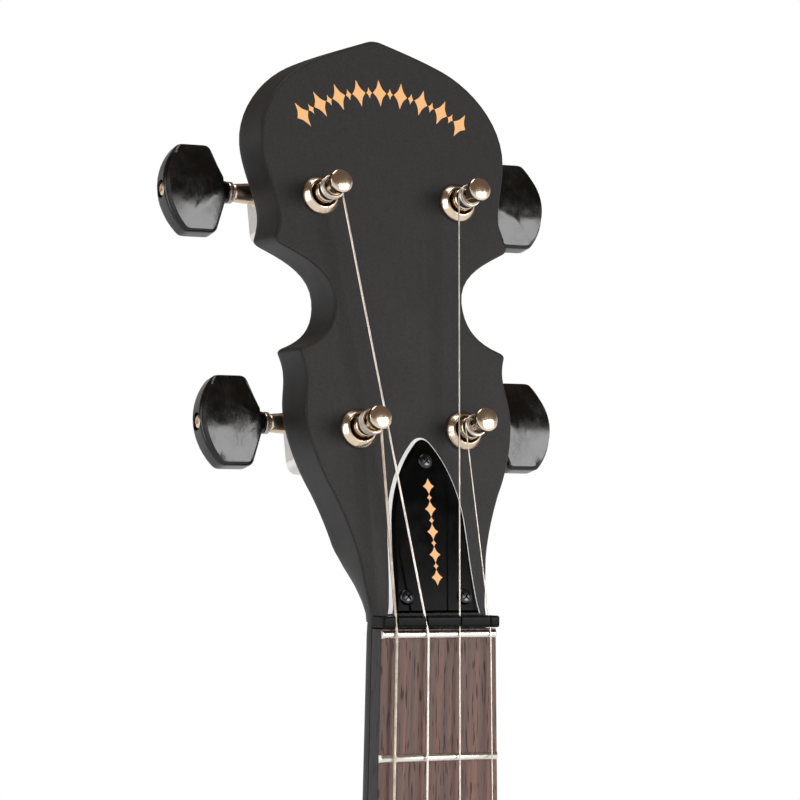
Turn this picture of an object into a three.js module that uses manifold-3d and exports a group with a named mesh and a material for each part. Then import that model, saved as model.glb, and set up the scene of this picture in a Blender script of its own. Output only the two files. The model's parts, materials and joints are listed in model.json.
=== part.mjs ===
// A short-scale four-string open-back banjo, in millimetres.
//
// Frame: +Z runs up the neck to the peghead's tip, the strings face -Y, and +X is to the right of
// somebody who looks at the strings. The origin is the middle of the zero fret, on the fingerboard's
// front plane. Heights above that plane are therefore negative Y, and depths behind it positive.
//
// The peghead tilts back behind the nut. What it carries is drawn in the face frame: X across, Y along
// the face away from the nut, Z out of the face. The pot is drawn in the pot frame: Z is the depth
// behind the fingerboard's front plane, Y points at the tailpiece, and the origin is the pot's centre.
import * as THREE from "three";
import { mergeVertices } from "three/addons/utils/BufferGeometryUtils.js";
import Module from "manifold-3d";

const wasm = await Module();
wasm.setup();

// ---------------------------------------------------------------- driving dimensions

const SEAT = 0.3; // gap between two pieces that rest on each other
const CLEAR = 5; // how far a cutting tool passes what it cuts
const STRING_GAP = 0.15; // gap under a string where it crosses a fret, the bridge or a slot
const SCALE_LENGTH = 533.4; // from the zero fret to the bridge
const FRET_COUNT = 17;

const board = { nutWidth: 31.75, widening: 0.0353, thickness: 5, topZ: 1.3, length: 343, overHoop: 5 };
const fret = { width: 2, height: 1, seatDepth: 0.5 };
const nut = { thickness: 2.9, overhang: 0.25, proud: 1.6, slotFloor: 0.5 };

const neck = {
  depthAtNut: 13.2,
  depthAtHeel: 16.5,
  heelDepth: 53,
  heelStartZ: -284,
  voluteZ: 17,
  voluteDepth: 9,
  heelOverlap: 12,
  breakGap: 0.15,
};

const peghead = { tilt: THREE.MathUtils.degToRad(12.6), length: 149.6, halfWidth: 34.4, thickness: 14.3 };

const throat = { length: 14, narrowing: 0.35, thinning: 0.15 }; // of the peghead's back, from the nut

const cover = { length: 44, halfWidth: 11.5, thickness: 2, shift: 1.4, start: 0.2 };
const coverScrew = {
  headRadius: 1.85,
  headHeight: 1.2,
  shankRadius: 1,
  length: 8,
  inset: 3.9,
  tipInset: 38.1,
  spread: 8,
  shift: 0.95,
  tipShift: 1.55,
};

const trussRod = { radius: 2.5, depth: 6.7, endZ: -318, nutRadius: 3.6, nutLength: 10 };
const trussPocket = { halfWidth: 4.6, length: 17, depth: 10.8 };

// The tuning machines, from the middle of each string post on the peghead's face.
const postRows = [
  { row: "lower", across: 14.72, along: 46.6 },
  { row: "upper", across: 19.44, along: 106.7 },
];
const post = {
  radius: 2.9,
  shoulder: 4.2,
  waist: 2.1,
  capRadius: 2.98,
  capUnder: 11.1,
  top: 13,
  stub: 2,
  hole: 0.6,
};
const bushing = { clearance: 0.45, mouth: 0.35, wall: 0.85, flange: 0.9, height: 2.3, length: 11.8 };
const housing = { inner: 8.8, outer: 8.4, below: 5.9, above: 11.6, depth: 12.2, wall: 1.2, corner: 2.6 };
const nose = { radius: 2.75, tipRadius: 2.35, length: 7 };
const worm = {
  module: 0.5,
  teeth: 15,
  pitchRadius: 2.25,
  addendum: 0.4,
  dedendum: 0.55,
  turns: 3,
  shaft: 1.6,
};
const gear = { thickness: 3.4, backlash: 0.14 };
const collar = { radius: 2.8, width: 1 };
const button = {
  neckRadius: 2.9,
  neck: 1.2,
  flare: 3.4,
  flat: 8.4,
  bow: 5,
  halfHeight: 11.6,
  thickness: 7.8,
  bevel: 1,
};
const buttonScrew = { headRadius: 1.95, headHeight: 1.1, shankRadius: 0.9, length: 9.5 };
const wormDepth = 5; // the worm's axis behind the peghead's back

// Strings from the lower-left post to the lower-right one, as they lie on the zero fret.
const strings = [
  { name: "fourth", radius: 0.39, post: "lower_left" },
  { name: "third", radius: 0.3, post: "upper_left" },
  { name: "second", radius: 0.2, post: "upper_right" },
  { name: "first", radius: 0.15, post: "lower_right" },
];
const stringSpan = { nut: 26, bridge: 42, tail: 18 };
const stringShift = 0.6; // of all strings at the nut, towards the first string's side
const windHeight = 6.2; // of the string's first turn above the peghead's face
const windTurns = 3;

// The pot, by radius and by depth behind the fingerboard's front plane.
const POT_SIDES = 48; // shared by everything round in the pot, so that nested facets line up
const rim = { outer: 139, wall: 14, back: 77 };
const head = { front: 9.2, skin: 0.5, collarGap: 0.3, collarEnd: 23 };
const toneRing = { radius: 3.2, inset: 3.6 };
const fleshHoop = { width: 3.6, height: 5 };
const tensionHoop = { width: 5.7, front: 6.8, clearance: 1.2 };
const band = { width: 12.7, front: 46, thickness: 4, neckGap: 25 };
const hook = { count: 16, radius: 1.6, claw: 3, nutRadius: 4, nutHeight: 6, tail: 6, clearance: 1.8 };
const rod = { radius: 4.75, depth: 36, boltRadius: 3, boltReach: 24, capRadius: 6, capHeight: 5 };

const bridge = { length: 60, rise: 15.5, thickness: 4.5, footDrop: 8.6, arch: 9.6, footWidth: 9 };
const tail = {
  halfWidth: 9.8,
  plate: 1.5,
  plateDepth: 1.2,
  reach: 40,
  stand: 1.3,
  lidLift: 3.8,
  pinRadius: 0.9,
  ear: 1.4,
};
const knuckle = { radius: 1.9, bore: 1.2 };

// ---------------------------------------------------------------- sizes worked out from them

const neckFront = board.thickness + SEAT;
const nutStartZ = board.topZ + SEAT;
const breakZ = nutStartZ + nut.thickness + neck.breakGap;
const toneFront = head.front + head.skin + SEAT;
const rimFront = toneFront + 2 * toneRing.radius + SEAT;
const collarInner = rim.outer + head.collarGap;
const collarOuter = collarInner + head.skin;
const fleshInner = collarOuter + SEAT;
const fleshFront = head.collarEnd - fleshHoop.height;
const hoopInner = collarOuter + tensionHoop.clearance;
const hoopOuter = hoopInner + tensionHoop.width;
const hoopBack = fleshFront - SEAT;
const potCentreZ = board.overHoop - board.length - hoopOuter;
const neckJoinZ = potCentreZ + rim.outer;
const hookRadius = hoopOuter + hook.clearance + hook.radius;
const bridgeTop = head.front - SEAT - bridge.rise;
const wormLift = (worm.module * worm.teeth) / 2 + worm.pitchRadius; // from the post's axis to the worm's
const wormPitch = Math.PI * worm.module;
const wormLevel = -peghead.thickness - wormDepth;
const windInner = post.radius - 0.3;
const bushingBore = post.radius + bushing.clearance;
const bushingMouth = bushingBore + bushing.mouth;
const bushingBarrel = bushingBore + bushing.wall;
const bushingFlange = bushingBarrel + bushing.flange;
const collarStart = housing.outer + nose.length + SEAT;
const buttonStart = collarStart + collar.width + SEAT;
const buttonEnd = buttonStart + button.neck + button.flare + button.flat + button.bow;

// ---------------------------------------------------------------- solids

function toSolid(geometry) {
  const bare = geometry.index ? geometry.toNonIndexed() : geometry.clone();
  bare.deleteAttribute("normal");
  bare.deleteAttribute("uv");
  const merged = mergeVertices(bare, 1e-4);
  const mesh = new wasm.Mesh({
    numProp: 3,
    vertProperties: merged.attributes.position.array,
    triVerts: new Uint32Array(merged.index.array),
  });
  return new wasm.Manifold(mesh);
}

function toGeometry(solid) {
  const mesh = solid.getMesh();
  const geometry = new THREE.BufferGeometry();
  geometry.setAttribute("position", new THREE.BufferAttribute(mesh.vertProperties, 3));
  geometry.setIndex(new THREE.BufferAttribute(mesh.triVerts, 1));
  return geometry;
}

const cut = (base, ...tools) => toGeometry(tools.reduce((s, t) => s.subtract(toSolid(t)), toSolid(base)));
const join = (first, ...rest) => toGeometry(rest.reduce((s, t) => s.add(toSolid(t)), toSolid(first)));

// A box between two corners.
function box(low, high) {
  const geometry = new THREE.BoxGeometry(high[0] - low[0], high[1] - low[1], high[2] - low[2]);
  return geometry.translate((low[0] + high[0]) / 2, (low[1] + high[1]) / 2, (low[2] + high[2]) / 2);
}

// A body of revolution about Z. The profile runs anticlockwise in (radius, z).
function turned(profile, segments) {
  const points = profile.map(([r, z]) => new THREE.Vector2(r, z));
  return new THREE.LatheGeometry(points, segments).rotateX(Math.PI / 2);
}

// A cylinder about Z.
const disc = (radius, low, high, segments) =>
  turned([[0, low], [radius, low], [radius, high], [0, high]], segments);

// A ring of rectangular section about Z.
function ring(inner, outer, low, high, segments) {
  return turned([[inner, low], [outer, low], [outer, high], [inner, high], [inner, low]], segments);
}

// A cylinder between two points.
function bar(from, to, radius, sides) {
  const a = new THREE.Vector3(...from);
  const b = new THREE.Vector3(...to);
  const along = b.clone().sub(a);
  const geometry = new THREE.CylinderGeometry(radius, radius, along.length(), sides);
  const turn = new THREE.Quaternion().setFromUnitVectors(new THREE.Vector3(0, 1, 0), along.normalize());
  return geometry.applyQuaternion(turn).translate((a.x + b.x) / 2, (a.y + b.y) / 2, (a.z + b.z) / 2);
}

// A prism along Z of a shape in the XY plane.
function prism(shape, low, high, options = {}) {
  const settings = { depth: high - low, bevelEnabled: false, curveSegments: 4, ...options };
  return new THREE.ExtrudeGeometry(shape, settings).translate(0, 0, low);
}

// Moves every vertex of a geometry.
function reshape(geometry, move) {
  const position = geometry.attributes.position;
  const point = new THREE.Vector3();
  for (let i = 0; i < position.count; i++) {
    move(point.fromBufferAttribute(position, i));
    position.setXYZ(i, point.x, point.y, point.z);
  }
  return geometry;
}

// ---------------------------------------------------------------- outlines and frames

// Cubic curves of the peghead's right half, from the tip down to the nut, drawn at this size.
const PEGHEAD_DRAWN = { length: 149.6, halfWidth: 34.4 };
const PEGHEAD_CURVES = [
  [[6.5, 147.4], [13.5, 145.1], [19.3, 142.3]], // crown
  [[27, 138.5], [34.2, 130.3], [34.4, 120.8]], // shoulder
  [[34.5, 114.3], [31.3, 107.3], [31.15, 102.3]], // upper waist
  [[31.1, 99.3], [32.2, 96.8], [33.1, 94.4]], // upper horn
  [[27, 91.2], [18.05, 88.1], [18.05, 80.1]], // notch
  [[18.05, 72.9], [22, 69.1], [29.1, 66.9]], // lower horn
  [[28.2, 64.8], [27.7, 62.8], [27.7, 60.8]],
  [[27.7, 57.3], [28.75, 54.8], [28.75, 50.8]], // cheek
  [[28.75, 44.3], [26.2, 36.3], [23, 30.3]],
  [[20.9, 25.5], [18.6, 19.3], [17.6, 13.8]], // throat
];

// A closed shape, the same on both sides of X = 0, from the cubic curves of its right half.
function mirroredShape(start, curves, end) {
  const shape = new THREE.Shape();
  shape.moveTo(...start);
  for (const [a, b, to] of curves) shape.bezierCurveTo(...a, ...b, ...to);
  shape.lineTo(...end);
  shape.lineTo(-end[0], end[1]);
  for (let i = curves.length - 1; i >= 0; i--) {
    const [a, b, to] = curves[i];
    const from = i ? curves[i - 1][2] : start;
    if (i === curves.length - 1) shape.lineTo(-to[0], to[1]);
    shape.bezierCurveTo(-b[0], b[1], -a[0], a[1], -from[0], from[1]);
  }
  return shape;
}

function pegheadShape() {
  const kx = peghead.halfWidth / PEGHEAD_DRAWN.halfWidth;
  const ky = peghead.length / PEGHEAD_DRAWN.length;
  const curves = PEGHEAD_CURVES.map((curve) => curve.map(([x, y]) => [x * kx, y * ky]));
  const foot = [board.nutWidth / 2, 0];
  const [lastX, lastY] = curves.at(-1)[2];
  curves.push([[(lastX + foot[0]) / 2, lastY / 2], [foot[0] + 0.1, lastY / 4], foot]);
  return mirroredShape([0, peghead.length], curves, [foot[0], -2]);
}

function coverShape(grow = 0) {
  const side = cover.halfWidth + grow;
  const shoulder = [0.84 * side, 0.52 * cover.length];
  const curves = [
    [[0.55 * side, 0.87 * cover.length], [0.8 * side, 0.66 * cover.length], shoulder],
    [[0.89 * side, 0.36 * cover.length], [0.89 * side, 0.19 * cover.length], [side, cover.start + 0.1]],
  ];
  return mirroredShape([0, cover.length + grow], curves, [side, cover.start]);
}

const faceFrame = new THREE.Group();
faceFrame.position.set(0, neckFront, breakZ);
faceFrame.rotation.x = Math.PI / 2 - peghead.tilt;
faceFrame.updateMatrix();

const potFrame = new THREE.Group();
potFrame.position.set(0, 0, potCentreZ);
potFrame.rotation.x = -Math.PI / 2;

const root = new THREE.Group();
root.add(faceFrame, potFrame);

// A point of the face frame, in the object's frame.
const facePoint = (x, y, z) => new THREE.Vector3(x, y, z).applyMatrix4(faceFrame.matrix);

const finishes = {
  blackSatin: { color: 0x1d1b1b, roughness: 0.6, metalness: 0 },
  rosewood: { color: 0x4a2c26, roughness: 0.55, metalness: 0 },
  nickel: { color: 0xb9a48f, roughness: 0.12, metalness: 1 },
  steel: { color: 0x9a9a9c, roughness: 0.3, metalness: 1 },
  brass: { color: 0xb08a3e, roughness: 0.25, metalness: 1 },
  bronze: { color: 0xb98a4e, roughness: 0.35, metalness: 1 },
  glossBlack: { color: 0x0b0b0c, roughness: 0.12, metalness: 0 },
  screwBlack: { color: 0x141414, roughness: 0.25, metalness: 1 },
  maple: { color: 0xc79a5e, roughness: 0.5, metalness: 0 },
  skin: { color: 0xf1efe8, roughness: 0.6, metalness: 0 },
};

function add(parent, name, geometry, finish) {
  const mesh = new THREE.Mesh(geometry, new THREE.MeshStandardMaterial(finishes[finish]));
  mesh.name = name;
  parent.add(mesh);
  return mesh;
}

// ---------------------------------------------------------------- neck

const boardHalfWidth = (z) => (board.nutWidth - board.widening * z) / 2;
const fretZ = (n) => -SCALE_LENGTH * (1 - 2 ** (-n / 12));

// How far the neck's back lies behind its front, at height z.
function neckDepth(z) {
  if (z > 0) return THREE.MathUtils.lerp(neck.depthAtNut, neck.voluteDepth, z / neck.voluteZ);
  const shaft = THREE.MathUtils.lerp(neck.depthAtNut, neck.depthAtHeel, Math.min(1, z / neck.heelStartZ));
  if (z > neck.heelStartZ) return shaft;
  const t = Math.min(1, (neck.heelStartZ - z) / (neck.heelStartZ - neckJoinZ - 8));
  return THREE.MathUtils.lerp(shaft, neck.heelDepth, t * t * (3 - 2 * t));
}

function neckShaft() {
  const section = new THREE.Shape();
  section.moveTo(1, 0);
  section.absarc(0, 0, 1, 0, Math.PI, false);
  const stations = [neck.voluteZ, 8, 0, -40, -120, -200, neck.heelStartZ];
  const heelSteps = 7;
  const end = neckJoinZ - neck.heelOverlap;
  for (let i = 1; i <= heelSteps; i++) {
    stations.push(THREE.MathUtils.lerp(neck.heelStartZ, end, i / heelSteps));
  }
  const steps = stations.length - 1;
  const settings = { depth: steps, steps, bevelEnabled: false, curveSegments: 12 };
  const blank = new THREE.ExtrudeGeometry(section, settings);
  return reshape(blank.rotateY(Math.PI), (p) => {
    p.z = stations[Math.round(-p.z)];
    p.x *= boardHalfWidth(p.z);
    p.y = neckFront + p.y * neckDepth(p.z);
  });
}

// The peghead's plank: its sides are sawn square to the neck, not to its own face, and its back
// narrows and thins towards the nut to meet the round neck.
function pegheadPlank() {
  return reshape(prism(pegheadShape(), -peghead.thickness, 0), (p) => {
    if (p.z > -peghead.thickness / 2) return;
    const t = THREE.MathUtils.clamp(1 - p.y / throat.length, 0, 1);
    const near = t * t * (3 - 2 * t);
    p.y -= p.z * Math.tan(peghead.tilt);
    p.x *= 1 - throat.narrowing * near;
    p.z *= 1 - throat.thinning * near;
  });
}

function neckBody() {
  const plank = pegheadPlank().applyMatrix4(faceFrame.matrix);
  const aheadOfFace = box([-50, -6, 0], [50, 60, 30]).applyMatrix4(faceFrame.matrix);
  const rodY = neckFront + trussRod.depth;
  const channelHalf = trussRod.radius + SEAT;
  const pocketHalf = trussPocket.halfWidth;
  const pocketTop = breakZ + trussPocket.length;
  const heelHole = neckJoinZ + rod.boltReach + SEAT;
  const potGap = (radius, back) =>
    disc(radius + SEAT, -1, back, POT_SIDES).rotateX(-Math.PI / 2).translate(0, 0, potCentreZ);
  const tools = [
    aheadOfFace,
    box([-50, -5, -20], [50, neckFront, breakZ]),
    box([-channelHalf, 0, trussRod.endZ - SEAT], [channelHalf, rodY + channelHalf, breakZ + 2]),
    box([-pocketHalf, 0, breakZ + 1], [pocketHalf, neckFront + trussPocket.depth, pocketTop]),
    bar([0, rod.depth, heelHole], [0, rod.depth, neckJoinZ - CLEAR], rod.boltRadius + SEAT, 12),
  ];
  tools.push(potGap(hoopOuter, head.collarEnd + 2), potGap(rim.outer, rim.back));
  for (const { across, along } of postRows) {
    for (const side of [-1, 1]) {
      const [foot, top] = [-peghead.thickness - CLEAR, CLEAR].map((z) => [side * across, along, z]);
      const hole = bar(foot, top, bushingBarrel + SEAT, 16);
      tools.push(hole.applyMatrix4(faceFrame.matrix));
    }
  }
  const screwFoot = cover.thickness - coverScrew.length;
  for (const [x, y] of coverScrewPlaces()) {
    const hole = bar([x, y, screwFoot], [x, y, CLEAR], coverScrew.shankRadius + SEAT, 8);
    tools.push(hole.applyMatrix4(faceFrame.matrix));
  }
  return cut(join(plank, neckShaft()), ...tools);
}

function fingerboard() {
  const low = board.topZ - board.length;
  const plan = new THREE.Shape();
  plan.moveTo(-boardHalfWidth(board.topZ), board.topZ);
  plan.lineTo(-boardHalfWidth(low), low);
  plan.lineTo(boardHalfWidth(low), low);
  plan.lineTo(boardHalfWidth(board.topZ), board.topZ);
  const plank = prism(plan, 0, board.thickness).rotateX(Math.PI / 2).translate(0, board.thickness, 0);
  const seat = fret.width / 2 + SEAT;
  const blank = cut(plank, box([-40, -1, -seat], [40, fret.seatDepth, seat + 1]));
  const frets = [];
  for (let n = 1; n <= FRET_COUNT; n++) frets.push(fretWire(fretZ(n), fret.seatDepth));
  return join(blank, ...frets);
}

// A fret across the fingerboard at height z, with its crown and a foot that reaches below the surface.
function fretWire(z, foot) {
  const half = boardHalfWidth(z) - 0.1;
  const section = new THREE.Shape();
  section.moveTo(-fret.width / 2, foot);
  section.lineTo(-fret.width / 2, -0.4 * fret.height);
  section.lineTo(-0.25 * fret.width, -fret.height);
  section.lineTo(0.25 * fret.width, -fret.height);
  section.lineTo(fret.width / 2, -0.4 * fret.height);
  section.lineTo(fret.width / 2, foot);
  return prism(section, -half, half).rotateY(Math.PI / 2).translate(0, 0, z);
}

const stringX = (span, i) => span * (i / (strings.length - 1) - 0.5);

function nutBlock() {
  const half = board.nutWidth / 2 + nut.overhang;
  const block = box([-half, -nut.proud, nutStartZ], [half, board.thickness, nutStartZ + nut.thickness]);
  const slots = strings.map(({ radius }, i) => {
    const [over, end] = stringRoute(i).slice(-2);
    const x = THREE.MathUtils.lerp(over[0], end[0], (nutStartZ + nut.thickness / 2) / end[2]);
    const reach = radius + SEAT;
    const low = [x - reach, -nut.proud - 1, nutStartZ - 1];
    return box(low, [x + reach, nut.slotFloor, nutStartZ + nut.thickness + 1]);
  });
  return cut(block, ...slots);
}

// ---------------------------------------------------------------- truss rod and its cover

function coverScrewPlaces() {
  return [
    [coverScrew.tipShift, coverScrew.tipInset],
    [coverScrew.shift - coverScrew.spread, coverScrew.inset],
    [coverScrew.shift + coverScrew.spread, coverScrew.inset],
  ];
}

function buildPegheadTrim() {
  const holeRadius = coverScrew.shankRadius + SEAT;
  const holes = coverScrewPlaces().map(([x, y]) => bar([x, y, -1], [x, y, 9], holeRadius, 8));
  const plate = prism(coverShape(), SEAT, SEAT + cover.thickness).translate(cover.shift, 0, 0);
  add(faceFrame, "truss_rod_cover", cut(plate, ...holes), "glossBlack");
  const seatZ = 2 * SEAT + cover.thickness;
  const screw = turned(
    [
      [0, seatZ - coverScrew.length],
      [coverScrew.shankRadius, seatZ - coverScrew.length + 1],
      [coverScrew.shankRadius, seatZ],
      [coverScrew.headRadius, seatZ],
      [0.8 * coverScrew.headRadius, seatZ + 0.8 * coverScrew.headHeight],
      [0, seatZ + coverScrew.headHeight],
    ],
    10,
  );
  coverScrewPlaces().forEach(([x, y], i) => {
    const place = ["tip", "left", "right"][i];
    add(faceFrame, "cover_screw_" + place, screw.clone().translate(x, y, 0), "screwBlack");
  });
}

function buildNeck() {
  add(root, "neck", neckBody(), "blackSatin");
  add(root, "fingerboard", fingerboard(), "rosewood");
  add(root, "zero_fret", fretWire(0, fret.seatDepth - SEAT), "nickel");
  add(root, "nut", nutBlock(), "glossBlack");
  const rodY = neckFront + trussRod.depth;
  const rodTop = breakZ + 2;
  add(root, "truss_rod", bar([0, rodY, trussRod.endZ], [0, rodY, rodTop], trussRod.radius, 12), "steel");
  const nutFoot = rodTop + SEAT;
  const rodNut = bar([0, rodY, nutFoot], [0, rodY, nutFoot + trussRod.nutLength], trussRod.nutRadius, 6);
  add(root, "truss_rod_nut", rodNut, "brass");
}

// ---------------------------------------------------------------- tuning machines

function postBody() {
  const foot = -peghead.thickness - housing.depth + housing.wall + 0.5;
  const stubTop = -peghead.thickness - 1;
  const body = turned(
    [
      [0, foot],
      [post.stub, foot],
      [post.stub, stubTop],
      [post.radius, stubTop],
      [post.radius, post.shoulder],
      [post.radius - 0.4, post.shoulder + 0.2],
      [post.radius - 0.5, windHeight + 1.4],
      [post.waist, post.capUnder - 0.9],
      [post.capRadius, post.capUnder],
      [post.capRadius, post.top - 0.5],
      [0.6 * post.capRadius, post.top - 0.08],
      [0, post.top],
    ],
    12,
  );
  const holeZ = windHeight + 2.4;
  return cut(body, bar([-5, 0, holeZ], [5, 0, holeZ], post.hole, 6));
}

function bushingBody() {
  return turned(
    [
      [bushingBore, SEAT - bushing.length],
      [bushingBarrel, SEAT - bushing.length],
      [bushingBarrel, SEAT],
      [bushingFlange, SEAT],
      [bushingFlange, 0.4 * bushing.height],
      [0.9 * bushingFlange, 0.8 * bushing.height],
      [bushingMouth + 0.2, bushing.height],
      [bushingMouth - 0.1, bushing.height],
      [bushingBore, 0.8 * bushing.height],
      [bushingBore, SEAT - bushing.length],
    ],
    12,
  );
}

function housingBody() {
  const { inner, outer, below, above, corner, wall } = housing;
  const front = -peghead.thickness - SEAT;
  const back = front - housing.depth;
  const outline = (shrink) => {
    const r = Math.max(0.4, corner - shrink);
    const [x0, x1, y0, y1] = [-inner + shrink, outer - shrink, -below + shrink, above - shrink];
    const shape = new THREE.Shape();
    shape.absarc(x1 - r, y0 + r, r, -Math.PI / 2, 0, false);
    shape.absarc(x1 - r, y1 - r, r, 0, Math.PI / 2, false);
    shape.absarc(x0 + r, y1 - r, r, Math.PI / 2, Math.PI, false);
    shape.absarc(x0 + r, y0 + r, r, Math.PI, 1.5 * Math.PI, false);
    return shape;
  };
  const axisAt = (x) => [x, wormLift, wormLevel];
  const shell = prism(outline(0), back, front, { curveSegments: 2 });
  const cavity = prism(outline(wall), back + wall, front + 1, { curveSegments: 2 });
  const snout = new THREE.CylinderGeometry(nose.radius, nose.tipRadius, nose.length + 1, 18);
  snout.rotateZ(Math.PI / 2).translate(outer + nose.length / 2 - 0.5, wormLift, wormLevel);
  const bore = bar(axisAt(outer - wall - 1), axisAt(outer + nose.length + 2), worm.shaft + SEAT, 10);
  return cut(join(shell, snout), cavity, bore);
}

// The worm's thread height, as a share, at a distance from a crest given in pitches.
function threadShare(pitches) {
  const fromCrest = Math.abs(pitches - Math.round(pitches));
  return THREE.MathUtils.clamp((0.3 - fromCrest) / 0.18, 0, 1);
}

function wormShaft() {
  const ringsPerPitch = 7;
  const half = (worm.turns * wormPitch) / 2;
  const rootRadius = worm.pitchRadius - worm.dedendum;
  const profile = [[0, -half], [rootRadius, -half]];
  const rings = Math.round(worm.turns * ringsPerPitch);
  for (let i = 1; i < rings; i++) profile.push([rootRadius, -half + (2 * half * i) / rings]);
  profile.push([rootRadius, half], [0, half]);
  const thread = reshape(turned(profile, 10).rotateY(Math.PI / 2), (p) => {
    if (Math.hypot(p.y, p.z) < 0.1) return;
    const angle = Math.atan2(p.z, p.y);
    const fade = THREE.MathUtils.clamp((half - Math.abs(p.x)) / (0.3 * wormPitch), 0, 1);
    const share = threadShare(p.x / wormPitch - angle / (2 * Math.PI)) * fade;
    const radius = rootRadius + share * (worm.addendum + worm.dedendum);
    p.y = radius * Math.cos(angle);
    p.z = radius * Math.sin(angle);
  });
  const innerEnd = -housing.inner + housing.wall + SEAT;
  const shaft = bar([innerEnd, 0, 0], [buttonStart + 6, 0, 0], worm.shaft, 12);
  const washer = bar([collarStart, 0, 0], [collarStart + collar.width, 0, 0], collar.radius, 18);
  return join(shaft, thread, washer).translate(0, wormLift, wormLevel);
}

function wormGear() {
  const pitchRadius = (worm.module * worm.teeth) / 2;
  const slope = (0.18 * wormPitch) / (worm.addendum + worm.dedendum);
  const halfAtPitch = (0.58 * wormPitch) / 2 - gear.backlash;
  const tip = pitchRadius + worm.addendum - 0.05;
  const rootRadius = pitchRadius - worm.dedendum;
  const outline = new THREE.Shape();
  for (let i = 0; i < worm.teeth; i++) {
    const middle = Math.PI / 2 + (2 * Math.PI * i) / worm.teeth;
    const corners = [
      [rootRadius, -(halfAtPitch + slope * worm.dedendum)],
      [tip, -(halfAtPitch - slope * worm.addendum)],
      [tip, halfAtPitch - slope * worm.addendum],
      [rootRadius, halfAtPitch + slope * worm.dedendum],
    ];
    corners.forEach(([r, offset], j) => {
      const angle = middle + offset / r;
      const put = i + j ? "lineTo" : "moveTo";
      outline[put](r * Math.cos(angle), r * Math.sin(angle));
    });
  }
  const bore = new THREE.Path();
  bore.absarc(0, 0, post.stub + SEAT, 0, 2 * Math.PI, true);
  outline.holes.push(bore);
  const half = gear.thickness / 2;
  const twist = wormPitch / (2 * Math.PI * worm.pitchRadius * pitchRadius);
  const blank = prism(outline, -half, half, { steps: 1, curveSegments: 6 });
  return reshape(blank, (p) => {
    p.applyAxisAngle(new THREE.Vector3(0, 0, 1), twist * p.z);
    p.z += wormLevel;
  });
}

function buttonBody() {
  const neckX = buttonStart + button.neck;
  const flareX = neckX + button.flare;
  const flatX = flareX + button.flat;
  const h = button.halfHeight;
  const bowRadius = (h * h + button.bow * button.bow) / (2 * button.bow);
  const bowAngle = Math.asin(h / bowRadius);
  const shape = new THREE.Shape();
  shape.moveTo(neckX, -button.neckRadius);
  shape.lineTo(flareX, -h);
  shape.lineTo(flatX, -h);
  shape.absarc(buttonEnd - bowRadius, 0, bowRadius, -bowAngle, bowAngle, false);
  shape.lineTo(flareX, h);
  shape.lineTo(neckX, button.neckRadius);
  const half = button.thickness / 2;
  const slab = prism(shape, -half + button.bevel, half - button.bevel, {
    bevelEnabled: true,
    bevelSegments: 1,
    bevelSize: button.bevel,
    bevelThickness: button.bevel,
    bevelOffset: -button.bevel,
    curveSegments: 7,
  });
  const hub = bar([buttonStart, 0, 0], [neckX + 3, 0, 0], button.neckRadius, 16);
  const shaftHole = bar([buttonStart - 1, 0, 0], [buttonStart + 6 + SEAT, 0, 0], worm.shaft + SEAT, 12);
  const screwHole = bar([buttonStart, 0, 0], [buttonEnd + 1, 0, 0], buttonScrew.shankRadius + SEAT, 10);
  const sink = bar([buttonEnd - 1, 0, 0], [buttonEnd + 2, 0, 0], buttonScrew.headRadius + SEAT, 16);
  return cut(join(slab, hub), shaftHole, screwHole, sink).translate(0, wormLift, wormLevel);
}

function buttonScrewBody() {
  const seatX = buttonEnd - 1 + SEAT;
  const { headRadius, headHeight, shankRadius, length } = buttonScrew;
  const profile = [
    [0, seatX - length],
    [shankRadius, seatX - length + 1],
    [shankRadius, seatX],
    [headRadius, seatX],
    [0.8 * headRadius, seatX + 0.75 * headHeight],
    [0, seatX + headHeight],
  ];
  return turned(profile, 8).rotateY(Math.PI / 2).translate(0, wormLift, wormLevel);
}

// The turns of string that a post carries.
function windingBody(radius) {
  const inner = windInner;
  const low = windHeight - radius;
  const profile = [[inner, low]];
  for (let i = 0; i < windTurns; i++) {
    const base = low + 2 * radius * i;
    profile.push([inner + radius, base], [inner + 2 * radius, base + radius]);
    profile.push([inner + radius, base + 2 * radius]);
  }
  profile.push([inner, low + 2 * radius * windTurns], [inner, low]);
  const seen = profile.filter(([r, z], i) => !i || r !== profile[i - 1][0] || z !== profile[i - 1][1]);
  return turned(seen, 12);
}

function buildTuners() {
  for (const { row, across, along } of postRows) {
    for (const [sideName, side] of [["left", -1], ["right", 1]]) {
      const place = row + "_" + sideName;
      const machine = new THREE.Group();
      machine.position.set(side * across, along, 0);
      machine.scale.x = side;
      faceFrame.add(machine);
      const radius = strings.find((s) => s.post === place).radius;
      add(machine, "string_post_" + place, postBody(), "nickel");
      add(machine, "post_bushing_" + place, bushingBody(), "nickel");
      add(machine, "gear_housing_" + place, housingBody(), "nickel");
      add(machine, "worm_shaft_" + place, wormShaft(), "steel");
      add(machine, "worm_gear_" + place, wormGear(), "brass");
      add(machine, "tuner_button_" + place, buttonBody(), "glossBlack");
      add(machine, "button_screw_" + place, buttonScrewBody(), "nickel");
      add(machine, "string_winding_" + place, windingBody(radius), "steel");
    }
  }
}

// ---------------------------------------------------------------- strings, bridge and tailpiece

const tailFrontZ = () => potCentreZ - hoopOuter - tail.stand + tail.reach;

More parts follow.
